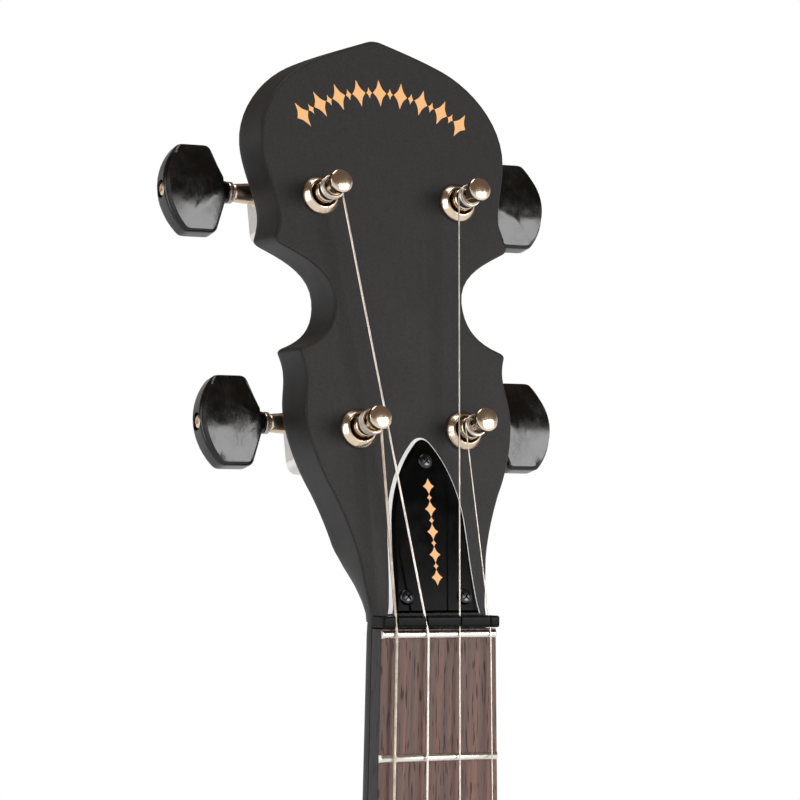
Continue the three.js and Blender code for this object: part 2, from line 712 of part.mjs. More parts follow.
// The corners of a string's route, from the tailpiece to where it meets its post.
function stringRoute(index) {
  const { radius, post: place } = strings[index];
  const lie = radius + STRING_GAP;
  const [row, sideName] = place.split("_");
  const { across, along } = postRows.find((r) => r.row === row);
  const side = sideName === "left" ? -1 : 1;
  const reach = windInner + radius; // of the string's middle from the post's axis
  const shortOfPost = Math.sqrt((windInner + 3 * radius + SEAT) ** 2 - reach ** 2);
  const meet = facePoint(side * (across - reach), along - shortOfPost, windHeight);
  return [
    [stringX(stringSpan.tail, index), tail.plateDepth - lie - 0.3, tailFrontZ() - 14],
    [stringX(stringSpan.bridge, index), bridgeTop - lie, -SCALE_LENGTH],
    [stringX(stringSpan.nut, index) + stringShift, -fret.height - lie, 0],
    meet.toArray(),
  ];
}

function buildStrings() {
  strings.forEach(({ name, radius }, index) => {
    const route = stringRoute(index);
    const runs = route.slice(1).map((to, i) => bar(route[i], to, radius, 8));
    add(root, "string_" + name, join(...runs), "steel");
  });
}

function bridgeBody() {
  const half = bridge.length / 2;
  const foot = head.front - SEAT;
  const crest = bridgeTop;
  const shape = new THREE.Shape();
  shape.moveTo(-half, foot);
  shape.lineTo(-half, foot - bridge.footDrop + 3);
  shape.lineTo(-half + 9, crest);
  shape.lineTo(half - 9, crest);
  shape.lineTo(half, foot - bridge.footDrop + 3);
  shape.lineTo(half, foot);
  const archHalf = (half - 1.5 * bridge.footWidth) / 2;
  for (const side of [1, -1]) {
    const middle = side * (bridge.footWidth / 2 + archHalf);
    shape.lineTo(middle + archHalf, foot);
    shape.lineTo(middle + 0.6 * archHalf, foot - bridge.arch);
    shape.lineTo(middle - 0.6 * archHalf, foot - bridge.arch);
    shape.lineTo(middle - archHalf, foot);
  }
  return prism(shape, -bridge.thickness / 2, bridge.thickness / 2).translate(0, 0, -SCALE_LENGTH);
}

// The tailpiece: a plate that stands off the pot's end, a hinged lid over the string ends, and its pin.
function buildTailpiece() {
  const { halfWidth, plate, plateDepth, stand, lidLift, pinRadius, ear } = tail;
  const wallZ = potCentreZ - hoopOuter - stand;
  const frontZ = tailFrontZ();
  const pinY = plateDepth - lidLift + knuckle.radius;
  const pinZ = wallZ + 1;
  const earInner = halfWidth + SEAT;
  const earOuter = earInner + ear;
  const deck = box([-earOuter, plateDepth, wallZ - plate], [earOuter, plateDepth + plate, frontZ]);
  const hanger = box([-halfWidth, plateDepth, wallZ - plate], [halfWidth, rod.depth + 8, wallZ]);
  const ears = [-1, 1].map((s) => {
    const [a, b] = [s * earInner, s * earOuter].sort((m, n) => m - n);
    return box([a, pinY - 2.4, pinZ - 2.6], [b, plateDepth + plate, pinZ + 2.6]);
  });
  const pinHole = bar([-earOuter - 1, pinY, pinZ], [earOuter + 1, pinY, pinZ], pinRadius + SEAT, 10);
  const boltHole = bar([0, rod.depth, wallZ - 4], [0, rod.depth, wallZ + 4], rod.boltRadius + SEAT, 12);
  add(root, "tailpiece_base", cut(join(deck, hanger, ...ears), pinHole, boltHole), "nickel");

  const lidY = plateDepth - lidLift;
  const sheet = box([-halfWidth, lidY, pinZ], [halfWidth, lidY + 1.2, frontZ - 1]);
  const barrel = bar([-halfWidth, pinY, pinZ], [halfWidth, pinY, pinZ], knuckle.radius, 14);
  const bore = bar([-halfWidth - 1, pinY, pinZ], [halfWidth + 1, pinY, pinZ], knuckle.bore, 10);
  add(root, "tailpiece_lid", cut(join(sheet, barrel), bore), "nickel");
  add(root, "tailpiece_pin", bar([-earOuter, pinY, pinZ], [earOuter, pinY, pinZ], pinRadius, 10), "steel");
}

// ---------------------------------------------------------------- pot

function rimBody() {
  const inner = rim.outer - rim.wall;
  const hoop = ring(inner, rim.outer, rimFront, rim.back, POT_SIDES);
  const ends = [-1, 1].map((side) => [0, side * (rim.outer + CLEAR), rod.depth]);
  const hole = bar(...ends, rod.boltRadius + SEAT, 12);
  return cut(hoop, hole);
}

function toneRingBody() {
  const middle = [rim.outer - toneRing.inset - toneRing.radius / 2, toneFront + toneRing.radius];
  const sides = 6;
  const profile = [];
  for (let i = 0; i <= sides; i++) {
    const angle = (2 * Math.PI * (i % sides)) / sides + Math.PI / sides;
    const radius = toneRing.radius;
    profile.push([middle[0] + radius * Math.cos(angle), middle[1] + radius * Math.sin(angle)]);
  }
  return turned(profile, POT_SIDES);
}

function headBody() {
  const back = head.front + head.skin;
  const profile = [
    [0, head.front],
    [collarOuter, head.front],
    [collarOuter, head.collarEnd],
    [collarInner, head.collarEnd],
    [collarInner, back],
    [0, back],
  ];
  return turned(profile, POT_SIDES);
}

// The bracket band with its hooks and their nuts: a C-shaped band that leaves room for the heel.
function bracketBandBody() {
  const inner = rim.outer + SEAT;
  const ringBody = ring(inner, inner + band.width, band.front, band.front + band.thickness, POT_SIDES);
  const reach = inner + band.width + CLEAR;
  const bandBack = band.front + band.thickness;
  const gap = box([-band.neckGap, -reach, band.front - 2], [band.neckGap, 0, bandBack + 2]);
  const hooks = [];
  const hookFront = tensionHoop.front - SEAT;
  for (let i = 0; i < hook.count; i++) {
    const angle = (2 * Math.PI * (i + 0.5)) / hook.count;
    const nutFoot = bandBack - 0.5;
    const hookEnd = nutFoot + hook.nutHeight + hook.tail;
    const pieces = [
      bar([hookRadius, 0, hookFront - hook.claw], [hookRadius, 0, hookEnd], hook.radius, 6),
      box([hoopInner + 1, -hook.radius, hookFront - hook.claw], [hookRadius, hook.radius, hookFront]),
      bar([hookRadius, 0, nutFoot], [hookRadius, 0, nutFoot + hook.nutHeight], hook.nutRadius, 6),
    ];
    for (const piece of pieces) hooks.push(piece.rotateZ(angle));
  }
  return join(cut(ringBody, gap), ...hooks);
}

function buildPot() {
  add(potFrame, "rim", rimBody(), "maple");
  add(potFrame, "tone_ring", toneRingBody(), "brass");
  add(potFrame, "drum_head", headBody(), "skin");
  const fleshOuter = fleshInner + fleshHoop.width;
  add(potFrame, "flesh_hoop", ring(fleshInner, fleshOuter, fleshFront, head.collarEnd, POT_SIDES), "steel");
  add(potFrame, "tension_hoop", ring(hoopInner, hoopOuter, tensionHoop.front, hoopBack, POT_SIDES), "nickel");
  add(potFrame, "bracket_band", bracketBandBody(), "nickel");

  const rimInner = rim.outer - rim.wall;
  const rodHalf = rimInner - SEAT;
  const span = bar([0, -rodHalf, rod.depth], [0, rodHalf, rod.depth], rod.radius, 16);
  const drill = (from, to) => bar([0, from, rod.depth], [0, to, rod.depth], rod.boltRadius + SEAT, 12);
  const boltDepth = 12;
  const bored = cut(span, drill(-rodHalf - 1, -rodHalf + boltDepth), drill(rodHalf - boltDepth, rodHalf + 1));
  add(potFrame, "coordinator_rod", bored, "steel");
  const boltFoot = rodHalf - boltDepth + SEAT;
  const lag = bar([0, -boltFoot, rod.depth], [0, -rim.outer - rod.boltReach, rod.depth], rod.boltRadius, 12);
  add(potFrame, "heel_lag_bolt", lag, "steel");
  const capFoot = hoopOuter + tail.stand + tail.plate + SEAT;
  const tailBolt = join(
    bar([0, boltFoot, rod.depth], [0, capFoot + 1, rod.depth], rod.boltRadius, 12),
    bar([0, capFoot, rod.depth], [0, capFoot + rod.capHeight, rod.depth], rod.capRadius, 6),
  );
  add(potFrame, "tail_bolt", tailBolt, "nickel");
}

buildNeck();
buildPegheadTrim();
buildTuners();
buildPot();
add(root, "bridge", bridgeBody(), "maple");
buildTailpiece();
buildStrings();

export default root;
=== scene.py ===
"""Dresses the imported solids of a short-scale four-string open-back banjo.

Sizes are in millimetres until a piece becomes an object. The peghead's pieces are drawn in the
face frame: X across, Y along the face away from the nut, Z out of the face. The pot's pieces are
drawn in the pot frame: Z is the depth behind the strings' side, Y points at the tailpiece.
"""

import json
import logging
import math
from collections.abc import Callable, Iterable, Sequence
from dataclasses import dataclass, field
from enum import Enum
from itertools import accumulate

import bmesh
import bpy
from mathutils import Matrix, Vector


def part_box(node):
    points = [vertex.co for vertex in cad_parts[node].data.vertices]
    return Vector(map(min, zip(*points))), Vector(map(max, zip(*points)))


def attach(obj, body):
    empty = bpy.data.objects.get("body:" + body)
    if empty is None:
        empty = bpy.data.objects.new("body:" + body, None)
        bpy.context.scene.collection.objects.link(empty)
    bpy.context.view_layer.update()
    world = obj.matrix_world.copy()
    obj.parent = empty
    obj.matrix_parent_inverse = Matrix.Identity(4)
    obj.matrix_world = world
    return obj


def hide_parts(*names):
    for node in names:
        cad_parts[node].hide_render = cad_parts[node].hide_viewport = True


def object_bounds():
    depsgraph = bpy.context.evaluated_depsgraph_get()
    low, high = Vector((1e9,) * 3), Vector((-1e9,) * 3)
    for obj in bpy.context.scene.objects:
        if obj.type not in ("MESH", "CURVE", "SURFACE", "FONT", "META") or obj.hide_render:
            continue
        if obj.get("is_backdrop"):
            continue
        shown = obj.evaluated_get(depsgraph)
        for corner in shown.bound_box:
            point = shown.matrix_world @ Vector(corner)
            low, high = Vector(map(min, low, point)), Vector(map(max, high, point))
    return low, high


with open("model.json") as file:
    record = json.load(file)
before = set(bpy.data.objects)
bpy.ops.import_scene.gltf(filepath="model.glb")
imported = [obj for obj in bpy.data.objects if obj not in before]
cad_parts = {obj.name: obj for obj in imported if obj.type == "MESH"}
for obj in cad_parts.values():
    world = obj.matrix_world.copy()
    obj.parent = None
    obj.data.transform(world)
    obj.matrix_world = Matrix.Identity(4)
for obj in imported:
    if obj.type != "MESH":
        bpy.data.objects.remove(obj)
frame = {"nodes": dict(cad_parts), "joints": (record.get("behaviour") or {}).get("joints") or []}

LOG = logging.getLogger("banjo")
MM = 0.001
Point2 = tuple[float, float]
Point3 = tuple[float, float, float]
Colour = Point3
Node = bpy.types.Node
Socket = bpy.types.NodeSocket
Sockets = bpy.types.bpy_prop_collection


# ---------------------------------------------------------------- frames and named options


class Place(Enum):
    """The four tuning machines, with the radius of the string each one holds."""

    LOWER_LEFT = ("lower_left", 0.39)
    LOWER_RIGHT = ("lower_right", 0.15)
    UPPER_LEFT = ("upper_left", 0.3)
    UPPER_RIGHT = ("upper_right", 0.2)

    @property
    def label(self) -> str:
        """The name used by the nodes, bodies and joints."""
        return self.value[0]

    @property
    def string_radius(self) -> float:
        """Radius of the string on this machine, in millimetres."""
        return self.value[1]

    @property
    def side(self) -> int:
        """-1 on the left of somebody who looks at the strings, 1 on the right."""
        return -1 if self.label.endswith("left") else 1


class Solver(Enum):
    """How one solid works on another."""

    JOIN = "UNION"
    CUT = "DIFFERENCE"


TILT = math.radians(12.6)
BOARD_BACK = 5.3
BREAK_Z = 4.65
POT_CENTRE_Z = -484.7
SCALE_LENGTH = 533.4
NUT_WIDTH = 31.75
WIDENING = 0.0353
PEGHEAD_THICKNESS = 14.3
RIM_RADIUS = 139.0
HOOP_OUTER = 146.7
HEAD_FRONT = 9.2
WIND_HEIGHT = 6.2
SHARP_ANGLE = 32.0


def half_neck(z: float) -> float:
    """Half the width of the neck and its fingerboard at a height."""
    return (NUT_WIDTH - WIDENING * z) / 2


def face_frame() -> Matrix:
    """The peghead's face frame, as a matrix in millimetres."""
    turn = Matrix.Rotation(math.pi / 2 - TILT, 4, "X")
    return Matrix.Translation((0, BOARD_BACK, BREAK_Z)) @ turn


def pot_frame() -> Matrix:
    """The pot's frame, as a matrix in millimetres."""
    return Matrix.Translation((0, 0, POT_CENTRE_Z)) @ Matrix.Rotation(-math.pi / 2, 4, "X")


def new_object(name: str, data: bpy.types.ID) -> bpy.types.Object:
    """Puts a new object into the scene."""
    obj = bpy.data.objects.new(name, data)
    bpy.context.scene.collection.objects.link(obj)
    return obj


def joint_point(name: str) -> Vector:
    """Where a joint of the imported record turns.

    Args:
        name: The joint's name.

    Returns:
        A point on its axis, in millimetres.
    """
    joint = next(j for j in frame["joints"] if j["name"] == name)
    return Vector(joint["pos_m"]) / MM


# ---------------------------------------------------------------- outlines and shells


def bezier(a: Point2, b: Point2, c: Point2, d: Point2, steps: int) -> list[Point2]:
    """Points of a cubic curve, without its first one.

    Args:
        a: Start.
        b: First handle.
        c: Second handle.
        d: End.
        steps: Number of points.

    Returns:
        The points from just after the start to the end.
    """
    points = []
    for i in range(1, steps + 1):
        t = i / steps
        s = 1 - t
        weights = (s**3, 3 * s * s * t, 3 * s * t * t, t**3)
        points.append(tuple(sum(w * p[k] for w, p in zip(weights, (a, b, c, d))) for k in (0, 1)))
    return points


def bend(start: Vector, corner: Vector, end: Vector, t: float) -> Vector:
    """A point of the curve that cuts a corner; t runs from 0 to 1."""
    return start * (1 - t) ** 2 + corner * 2 * t * (1 - t) + end * t * t


def mirrored(right: list[Point2]) -> list[Point2]:
    """The closed anticlockwise outline of a right half that starts on the middle line."""
    return anticlockwise(right + [(-x, y) for x, y in right[:0:-1]])


def rounded(
    points: Sequence[Point2], radius: float, steps: int = 4, closed: bool = True
) -> list[Point2]:
    """Rounds the corners of an outline.

    Args:
        points: The outline's corners.
        radius: How far each rounding starts from its corner, at most.
        steps: Pieces in each rounding.
        closed: Whether the last corner joins the first.

    Returns:
        The outline with a curve at each corner.
    """
    count = len(points)
    result = []
    for i, here in enumerate(points):
        if not closed and i in (0, count - 1):
            result.append(here)
            continue
        p = Vector(here)
        ends = []
        for other in (points[i - 1], points[(i + 1) % count]):
            way = Vector(other) - p
            ends.append(p + way.normalized() * min(radius, 0.48 * way.length))
        for k in range(steps + 1):
            q = bend(ends[0], p, ends[1], k / steps)
            result.append((q.x, q.y))
    return result


def eased(outline: list[Point2], corner: Point2, reach: float) -> list[Point2]:
    """An outline with one sharp corner replaced by a short curve.

    Args:
        outline: The closed outline.
        corner: The corner, one of its points.
        reach: How far from the corner the curve starts and ends.

    Returns:
        The outline, starting just after the corner.
    """
    start = min(range(len(outline)), key=lambda k: math.dist(outline[k], corner))
    turned_round = outline[start:] + outline[:start]
    kept = [p for p in turned_round if math.dist(p, corner) > reach]
    a, b = Vector(kept[-1]), Vector(kept[0])
    c = Vector(corner)
    curve = [bend(a, c, b, k / 6) for k in range(1, 6)]
    return kept + [(p.x, p.y) for p in curve]


def anticlockwise(outline: list[Point2]) -> list[Point2]:
    """The outline, turned round if it runs clockwise."""
    pairs = zip(outline, outline[1:] + outline[:1])
    area = sum(a[0] * b[1] - b[0] * a[1] for a, b in pairs)
    return outline if area > 0 else outline[::-1]


def _gap_to_outline(point: Vector, outline: list[Vector]) -> float:
    """Distance from a point to a closed outline."""
    best = math.inf
    for a, b in zip(outline, outline[1:] + outline[:1]):
        run = b - a
        share = max(0.0, min(1.0, (point - a).dot(run) / max(run.length_squared, 1e-12)))
        best = min(best, (a + run * share - point).length)
    return best


def inset(outline: list[Point2], distance: float) -> list[Point2]:
    """Moves an anticlockwise outline inwards by a distance, or outwards if that is negative.

    Args:
        outline: A closed anticlockwise outline.
        distance: How far inwards.

    Returns:
        An outline with the same number of points; those that a corner swallows lie on it.
    """
    if abs(distance) < 1e-9:
        return list(outline)
    points = [Vector(p) for p in outline]
    count = len(points)
    moved: list[Vector] = []
    corners: list[int] = []
    for i, p in enumerate(points):
        before = (p - points[i - 1]).normalized()
        after = (points[(i + 1) % count] - p).normalized()
        normals = [Vector((-d.y, d.x)) for d in (before, after)]
        middle = (normals[0] + normals[1]).normalized()
        moved.append(p + middle * distance / max(0.3, middle.dot(normals[0])))
        if before.angle(after) > math.radians(20):
            corners.append(i)
    for i, p in enumerate(moved):
        if corners and i not in corners and _gap_to_outline(p, points) < 0.97 * abs(distance):
            nearest = min(corners, key=lambda k: (points[k] - points[i]).length)
            moved[i] = moved[nearest].copy()
    return [(p.x, p.y) for p in moved]


@dataclass
class Shell:
    """A closed surface in millimetres, before it becomes an object."""

    points: list[Vector] = field(default_factory=list)
    faces: list[tuple[int, ...]] = field(default_factory=list)

    def add(self, other: "Shell") -> "Shell":
        """Takes in another shell and returns this one."""
        base = len(self.points)
        self.points.extend(other.points)
        self.faces.extend(tuple(i + base for i in face) for face in other.faces)
        return self

    def placed(self, matrix: Matrix) -> "Shell":
        """A copy moved by a matrix."""
        return Shell([matrix @ p for p in self.points], list(self.faces))

    def reshaped(self, move: Callable[[Vector], Vector]) -> "Shell":
        """A copy with each point put through a function."""
        return Shell([move(p.copy()) for p in self.points], list(self.faces))


def skin(rings: list[list[Vector]], round_again: bool = False) -> Shell:
    """Joins rings of equal length into a tube and closes its ends.

    Args:
        rings: Each one a closed ring of points, or a single point at a pole.
        round_again: Whether the last ring joins the first, so that nothing needs closing.

    Returns:
        The shell.
    """
    shell = Shell()
    rows: list[list[int]] = []
    for points in rings:
        rows.append(list(range(len(shell.points), len(shell.points) + len(points))))
        shell.points.extend(Vector(p) for p in points)
    pairs = list(zip(rows, rows[1:]))
    if round_again:
        pairs.append((rows[-1], rows[0]))
    for low, high in pairs:
        around = max(len(low), len(high))
        for k in range(around):
            n = (k + 1) % around
            if len(low) == 1:
                shell.faces.append((low[0], high[n], high[k]))
            elif len(high) == 1:
                shell.faces.append((low[k], low[n], high[0]))
            else:
                shell.faces.append((low[k], low[n], high[n], high[k]))
    if not round_again:
        if len(rows[0]) > 1:
            shell.faces.append(tuple(reversed(rows[0])))
        if len(rows[-1]) > 1:
            shell.faces.append(tuple(rows[-1]))
    return shell


def turned(profile: Sequence[Point2], sides: int, ring: bool = False) -> Shell:
    """A body of revolution about Z.

    Args:
        profile: (radius, height) pairs from the bottom outwards and up, or round a ring's section.
        sides: Pieces in the round.
        ring: Whether the profile is the closed section of a ring.

    Returns:
        The shell.
    """
    rings = []
    for radius, height in profile:
        if radius < 1e-6:
            rings.append([Vector((0, 0, height))])
            continue
        angles = [2 * math.pi * k / sides for k in range(sides)]
        rings.append([Vector((radius * math.cos(a), radius * math.sin(a), height)) for a in angles])
    return skin(rings, ring)


def slab(outline: list[Point2], steps: Sequence[Point2]) -> Shell:
    """A plate with shaped edges.

    Args:
        outline: A closed anticlockwise outline.
        steps: (inset, height) pairs from the bottom face to the top one.

    Returns:
        The shell.
    """
    rings = [[Vector((x, y, height)) for x, y in inset(outline, pull)] for pull, height in steps]
    return skin(rings)


def tube(path: Sequence[Vector], radius: float, sides: int = 12) -> Shell:
    """A round wire along a path.

    Args:
        path: The middle of the wire.
        radius: Its radius.
        sides: Pieces round it.

    Returns:
        The shell.
    """
    points = [Vector(p) for p in path]
    way = (points[1] - points[0]).normalized()
    seed = Vector((1, 0, 0)) if abs(way.x) < 0.9 else Vector((0, 1, 0))
    across = way.cross(seed).normalized()
    rings = []
    for i, p in enumerate(points):
        ahead = points[min(i + 1, len(points) - 1)] - points[max(i - 1, 0)]
        way = ahead.normalized()
        across = (across - way * across.dot(way)).normalized()
        other = way.cross(across)
        angles = [2 * math.pi * k / sides for k in range(sides)]
        rings.append([p + (across * math.cos(a) + other * math.sin(a)) * radius for a in angles])
    return skin(rings)


def block(low: Sequence[float], high: Sequence[float]) -> Shell:
    """A box between two corners."""
    (x0, y0, z0), (x1, y1, z1) = low, high
    return skin(
        [[Vector((x, y, z)) for x, y in ((x0, y0), (x1, y0), (x1, y1), (x0, y1))] for z in (z0, z1)]
    )


def rod_between(start: Sequence[float], end: Sequence[float], radius: float, sides: int) -> Shell:
    """A cylinder between two points."""
    return tube([Vector(start), Vector(end)], radius, sides)


# ---------------------------------------------------------------- node wiring


class Wiring:
    """Adds and joins nodes in a tree."""

    def __init__(self, tree: bpy.types.NodeTree) -> None:
        """Keeps the tree to work on."""
        self.tree = tree

    def add(self, kind: str, settings: dict[str, object] | None = None, **inputs: object) -> Node:
        """Adds a node.

        Args:
            kind: The node's type.
            settings: Attributes of the node.
            inputs: Sockets by name, with underscores for spaces: a value, or a socket to join.

        Returns:
            The node.
        """
        node = self.tree.nodes.new(kind)
        for key, value in (settings or {}).items():
            setattr(node, key, value)
        for key, value in inputs.items():
            self.put(node.inputs[key.replace("_", " ")], value)
        return node

    def put(self, socket: Socket, value: object) -> None:
        """Sets a socket, or joins another to it."""
        if isinstance(value, Socket):
            self.tree.links.new(value, socket)
        else:
            socket.default_value = value

    def math(self, operation: str, *values: object, clamp: bool = False) -> Socket:
        """One operation on numbers or sockets.

        Args:
            operation: The Math node's operation.
            values: Its inputs, in order.
            clamp: Whether the result is kept from 0 to 1.

        Returns:
            The result.
        """
        node = self.add("ShaderNodeMath", {"operation": operation, "use_clamp": clamp})
        for socket, value in zip(node.inputs, values):
            self.put(socket, value)
        return node.outputs[0]

    def times(self, first: object, second: object) -> Socket:
        """One number times another."""
        return self.math("MULTIPLY", first, second)

    def span(self, value: object, low: float, high: float, top: float = 1.0) -> Socket:
        """Maps values from low to high to values from 0 to a top one, kept inside them."""
        node = self.add("ShaderNodeMapRange", {"clamp": True})
        for socket, item in zip(node.inputs, (value, low, high, 0.0, top)):
            self.put(socket, item)
        return node.outputs[0]

    def mix(self, share: object, first: object, second: object) -> Socket:
        """Mixes two colours."""
        node = self.add("ShaderNodeMix", {"data_type": "RGBA"})
        colours = [(*c, 1) if isinstance(c, tuple) else c for c in (first, second)]
        for number, value in zip((0, 6, 7), (share, *colours)):
            self.put(node.inputs[number], value)
        return node.outputs[2]

    def blend(self, share: object, first: Socket, second: Socket) -> Socket:
        """Mixes two shaders."""
        node = self.add("ShaderNodeMixShader")
        for socket, value in zip(node.inputs, (share, first, second)):
            self.put(socket, value)
        return node.outputs[0]

    def noise(self, at: object, scale: float, detail: float = 2, rough: float = 0.5) -> Socket:
        """Noise at a place, from 0 to 1."""
        inputs = {"Vector": at, "Scale": scale, "Detail": detail, "Roughness": rough}
        return self.add("ShaderNodeTexNoise", **inputs).outputs[0]

    def stretched(self, at: object, scale: Sequence[float]) -> Socket:
        """Coordinates stretched along each axis."""
        return self.add("ShaderNodeMapping", Vector=at, Scale=scale).outputs[0]

    def parts(self, at: object) -> Sockets:
        """The X, Y and Z of a vector."""
        return self.add("ShaderNodeSeparateXYZ", Vector=at).outputs

    def vector(self, **parts: object) -> Socket:
        """A vector of its X, Y and Z."""
        return self.add("ShaderNodeCombineXYZ", **parts).outputs[0]


def cleared(owner: bpy.types.Material | bpy.types.World) -> Wiring:
    """Empties the node tree of a material or of the world."""
    owner.use_nodes = True
    owner.node_tree.nodes.clear()
    return Wiring(owner.node_tree)


class Effect:
    """A shader group that several finishes share."""

    def __init__(self, name: str, number: tuple[str, float], outputs: Sequence[str]) -> None:
        """Starts the group.

        Args:
            name: The group's name.
            number: The name of its number input and its value.
            outputs: Names of its number outputs.
        """
        self.tree = bpy.data.node_groups.new(name, "ShaderNodeTree")
        socket = self.tree.interface.new_socket
        socket("Vector", in_out="INPUT", socket_type="NodeSocketVector")
        socket(number[0], in_out="INPUT", socket_type="NodeSocketFloat").default_value = number[1]
        for label in outputs:
            socket(label, in_out="OUTPUT", socket_type="NodeSocketFloat")
        self.w = Wiring(self.tree)
        self.at, self.number = self.w.add("NodeGroupInput").outputs[:2]
        self.end = self.w.add("NodeGroupOutput")

    def scaled(self) -> Socket:
        """The group's coordinates times its number."""
        node = self.w.add("ShaderNodeVectorMath", {"operation": "SCALE"}, Scale=self.number)
        self.w.put(node.inputs[0], self.at)
        return node.outputs[0]

    def give(self, **results: Socket) -> bpy.types.NodeTree:
        """Joins the outputs and returns the tree."""
        for label, socket in results.items():
            self.w.put(self.end.inputs[label], socket)
        return self.tree


class SharedEffects:
    """Shader groups that several finishes use."""

    def __init__(self) -> None:
        """Makes the groups."""
        self.handling = self._make_handling()
        self.speckle = self._make_speckle()
        self.grain = self._make_grain()

    def _make_handling(self) -> bpy.types.NodeTree:
        """Smudges and fine rubbing marks left by hands."""
        effect = Effect("handling marks", ("Size", 120.0), ("Smudge", "Rub"))
        w, scaled = effect.w, effect.scaled()
        clouds = w.noise(scaled, 1.0, 4, 0.6)
        fine = w.noise(w.stretched(scaled, (14, 2, 3)), 1.0, 3, 0.7)
        return effect.give(Smudge=w.span(clouds, 0.42, 0.66), Rub=w.span(fine, 0.35, 0.75))

    def _make_speckle(self) -> bpy.types.NodeTree:
        """Fine even grain of a sprayed or moulded surface."""
        effect = Effect("fine speckle", ("Size", 2200.0), ("Tone", "Height"))
        dots = effect.w.noise(effect.scaled(), 1.0, 3, 0.65)
        return effect.give(Tone=effect.w.span(dots, 0.3, 0.7), Height=dots)

    def _make_grain(self) -> bpy.types.NodeTree:
        """Wood: broad stripes, fibres and pores along the vector's Z."""
        effect = Effect("wood grain", ("Stripes", 260.0), ("Stripe", "Fibre", "Pore"))
        w, at = effect.w, effect.at
        waver = w.noise(w.stretched(at, (60, 60, 9)), 1.0, 2)
        x, y, z = w.parts(at)
        across = w.times(w.math("ADD", x, w.times(y, 0.35)), effect.number)
        across = w.math("ADD", across, w.times(waver, 2.6))
        bands = w.noise(w.vector(X=across, Z=w.times(z, 7.0)), 1.0, 3, 0.62)
        fibres = w.noise(w.stretched(at, (3400, 3400, 90)), 1.0, 2, 0.6)
        pores = w.noise(w.stretched(at, (2300, 2300, 170)), 1.0, 1, 0.4)
        return effect.give(
            Stripe=w.span(bands, 0.32, 0.68), Fibre=fibres, Pore=w.span(pores, 0.6, 0.68)
        )


# ---------------------------------------------------------------- finishes


def toned(colour: Colour, *shares: float) -> Colour:
    """A colour with each channel times its share, or all times the only one."""
    return tuple(c * s for c, s in zip(colour, shares * 3))


@dataclass
class Surface:
    """A material's shader while a finish dresses it."""

    w: Wiring
    shader: Node
    at: Socket
    effects: SharedEffects

    def use(self, group: bpy.types.NodeTree, at: Socket | None = None, **values: float) -> Sockets:
        """Puts a shared group into the material.

        Args:
            group: The group.
            at: Coordinates, where they aren't the object's own.
            values: Its number input.

        Returns:
            The group's outputs.
        """
        place = self.at if at is None else at
        return self.w.add("ShaderNodeGroup", {"node_tree": group}, Vector=place, **values).outputs

    def set(self, **inputs: object) -> None:
        """Sets or joins the shader's inputs, named with underscores for spaces."""
        for key, value in inputs.items():
            self.w.put(self.shader.inputs[key.replace("_", " ")], value)

    def rough(self, base: object, *marks: tuple[Socket, float]) -> None:
        """Sets the roughness to a base with a share of each mask on top."""
        for mask, share in marks:
            base = self.w.math("MULTIPLY_ADD", mask, share, base)
        self.set(Roughness=base)

    def bump(self, height: Socket, depth: float, share: float) -> None:
        """Raises the surface.

        Args:
            height: The height's socket.
            depth: How deep it is, in metres.
            share: How much of it shows.
        """
        node = self.w.add("ShaderNodeBump", Strength=share, Distance=depth, Height=height)
        self.set(Normal=node.outputs[0])


@dataclass(frozen=True)
class Finish:
    """A finish, with the record's material slot it belongs to."""

    name: str
    slot: str
    colour: Colour
    roughness: float = 0.4
    shine: float = field(default=0.5, kw_only=True)

    def material(self, effects: SharedEffects) -> bpy.types.Material:
        """The finish's material, made once.

        Args:
            effects: The shared shader groups.

        Returns:
            The material.
        """
        made = bpy.data.materials.get(self.name)
        if made:
            return made
        material = bpy.data.materials.new(self.name)
        w = cleared(material)
        shader = w.add("ShaderNodeBsdfPrincipled")
        w.add("ShaderNodeOutputMaterial", Surface=shader.outputs[0])
        surface = Surface(w, shader, w.add("ShaderNodeTexCoord").outputs["Object"], effects)
        surface.set(
            Base_Color=(*self.colour, 1), Roughness=self.roughness, Specular_IOR_Level=self.shine
        )
        self.dress(surface)
        return material

    def dress(self, s: Surface) -> None:
        """Adds what the surface shows close up; each kind of finish does this its own way."""
        raise NotImplementedError


@dataclass(frozen=True)
class SatinLacquer(Finish):
    """Black satin lacquer, sprayed over wood."""

    def dress(self, s: Surface) -> None:
        """Adds a fine sprayed grain, faint clouds and the wood's own lines under the lacquer."""
        w = s.w
        fine = s.use(s.effects.speckle, Size=2600.0)
        marks = s.use(s.effects.handling, Size=55.0)
        pale = toned(self.colour, 1.4, 1.38, 1.36)
        tone = w.mix(fine["Tone"], toned(self.colour, 0.62, 0.62, 0.64), pale)
        lines = w.noise(w.stretched(s.at, (900, 900, 40)), 1.0, 2)
        s.set(Base_Color=w.mix(w.times(w.span(lines, 0.35, 0.65), 0.25), tone, pale))
        s.rough(self.roughness, (marks["Smudge"], 0.06))
        s.bump(w.math("ADD", fine["Height"], w.times(lines, 0.4)), 0.00008, 0.35)


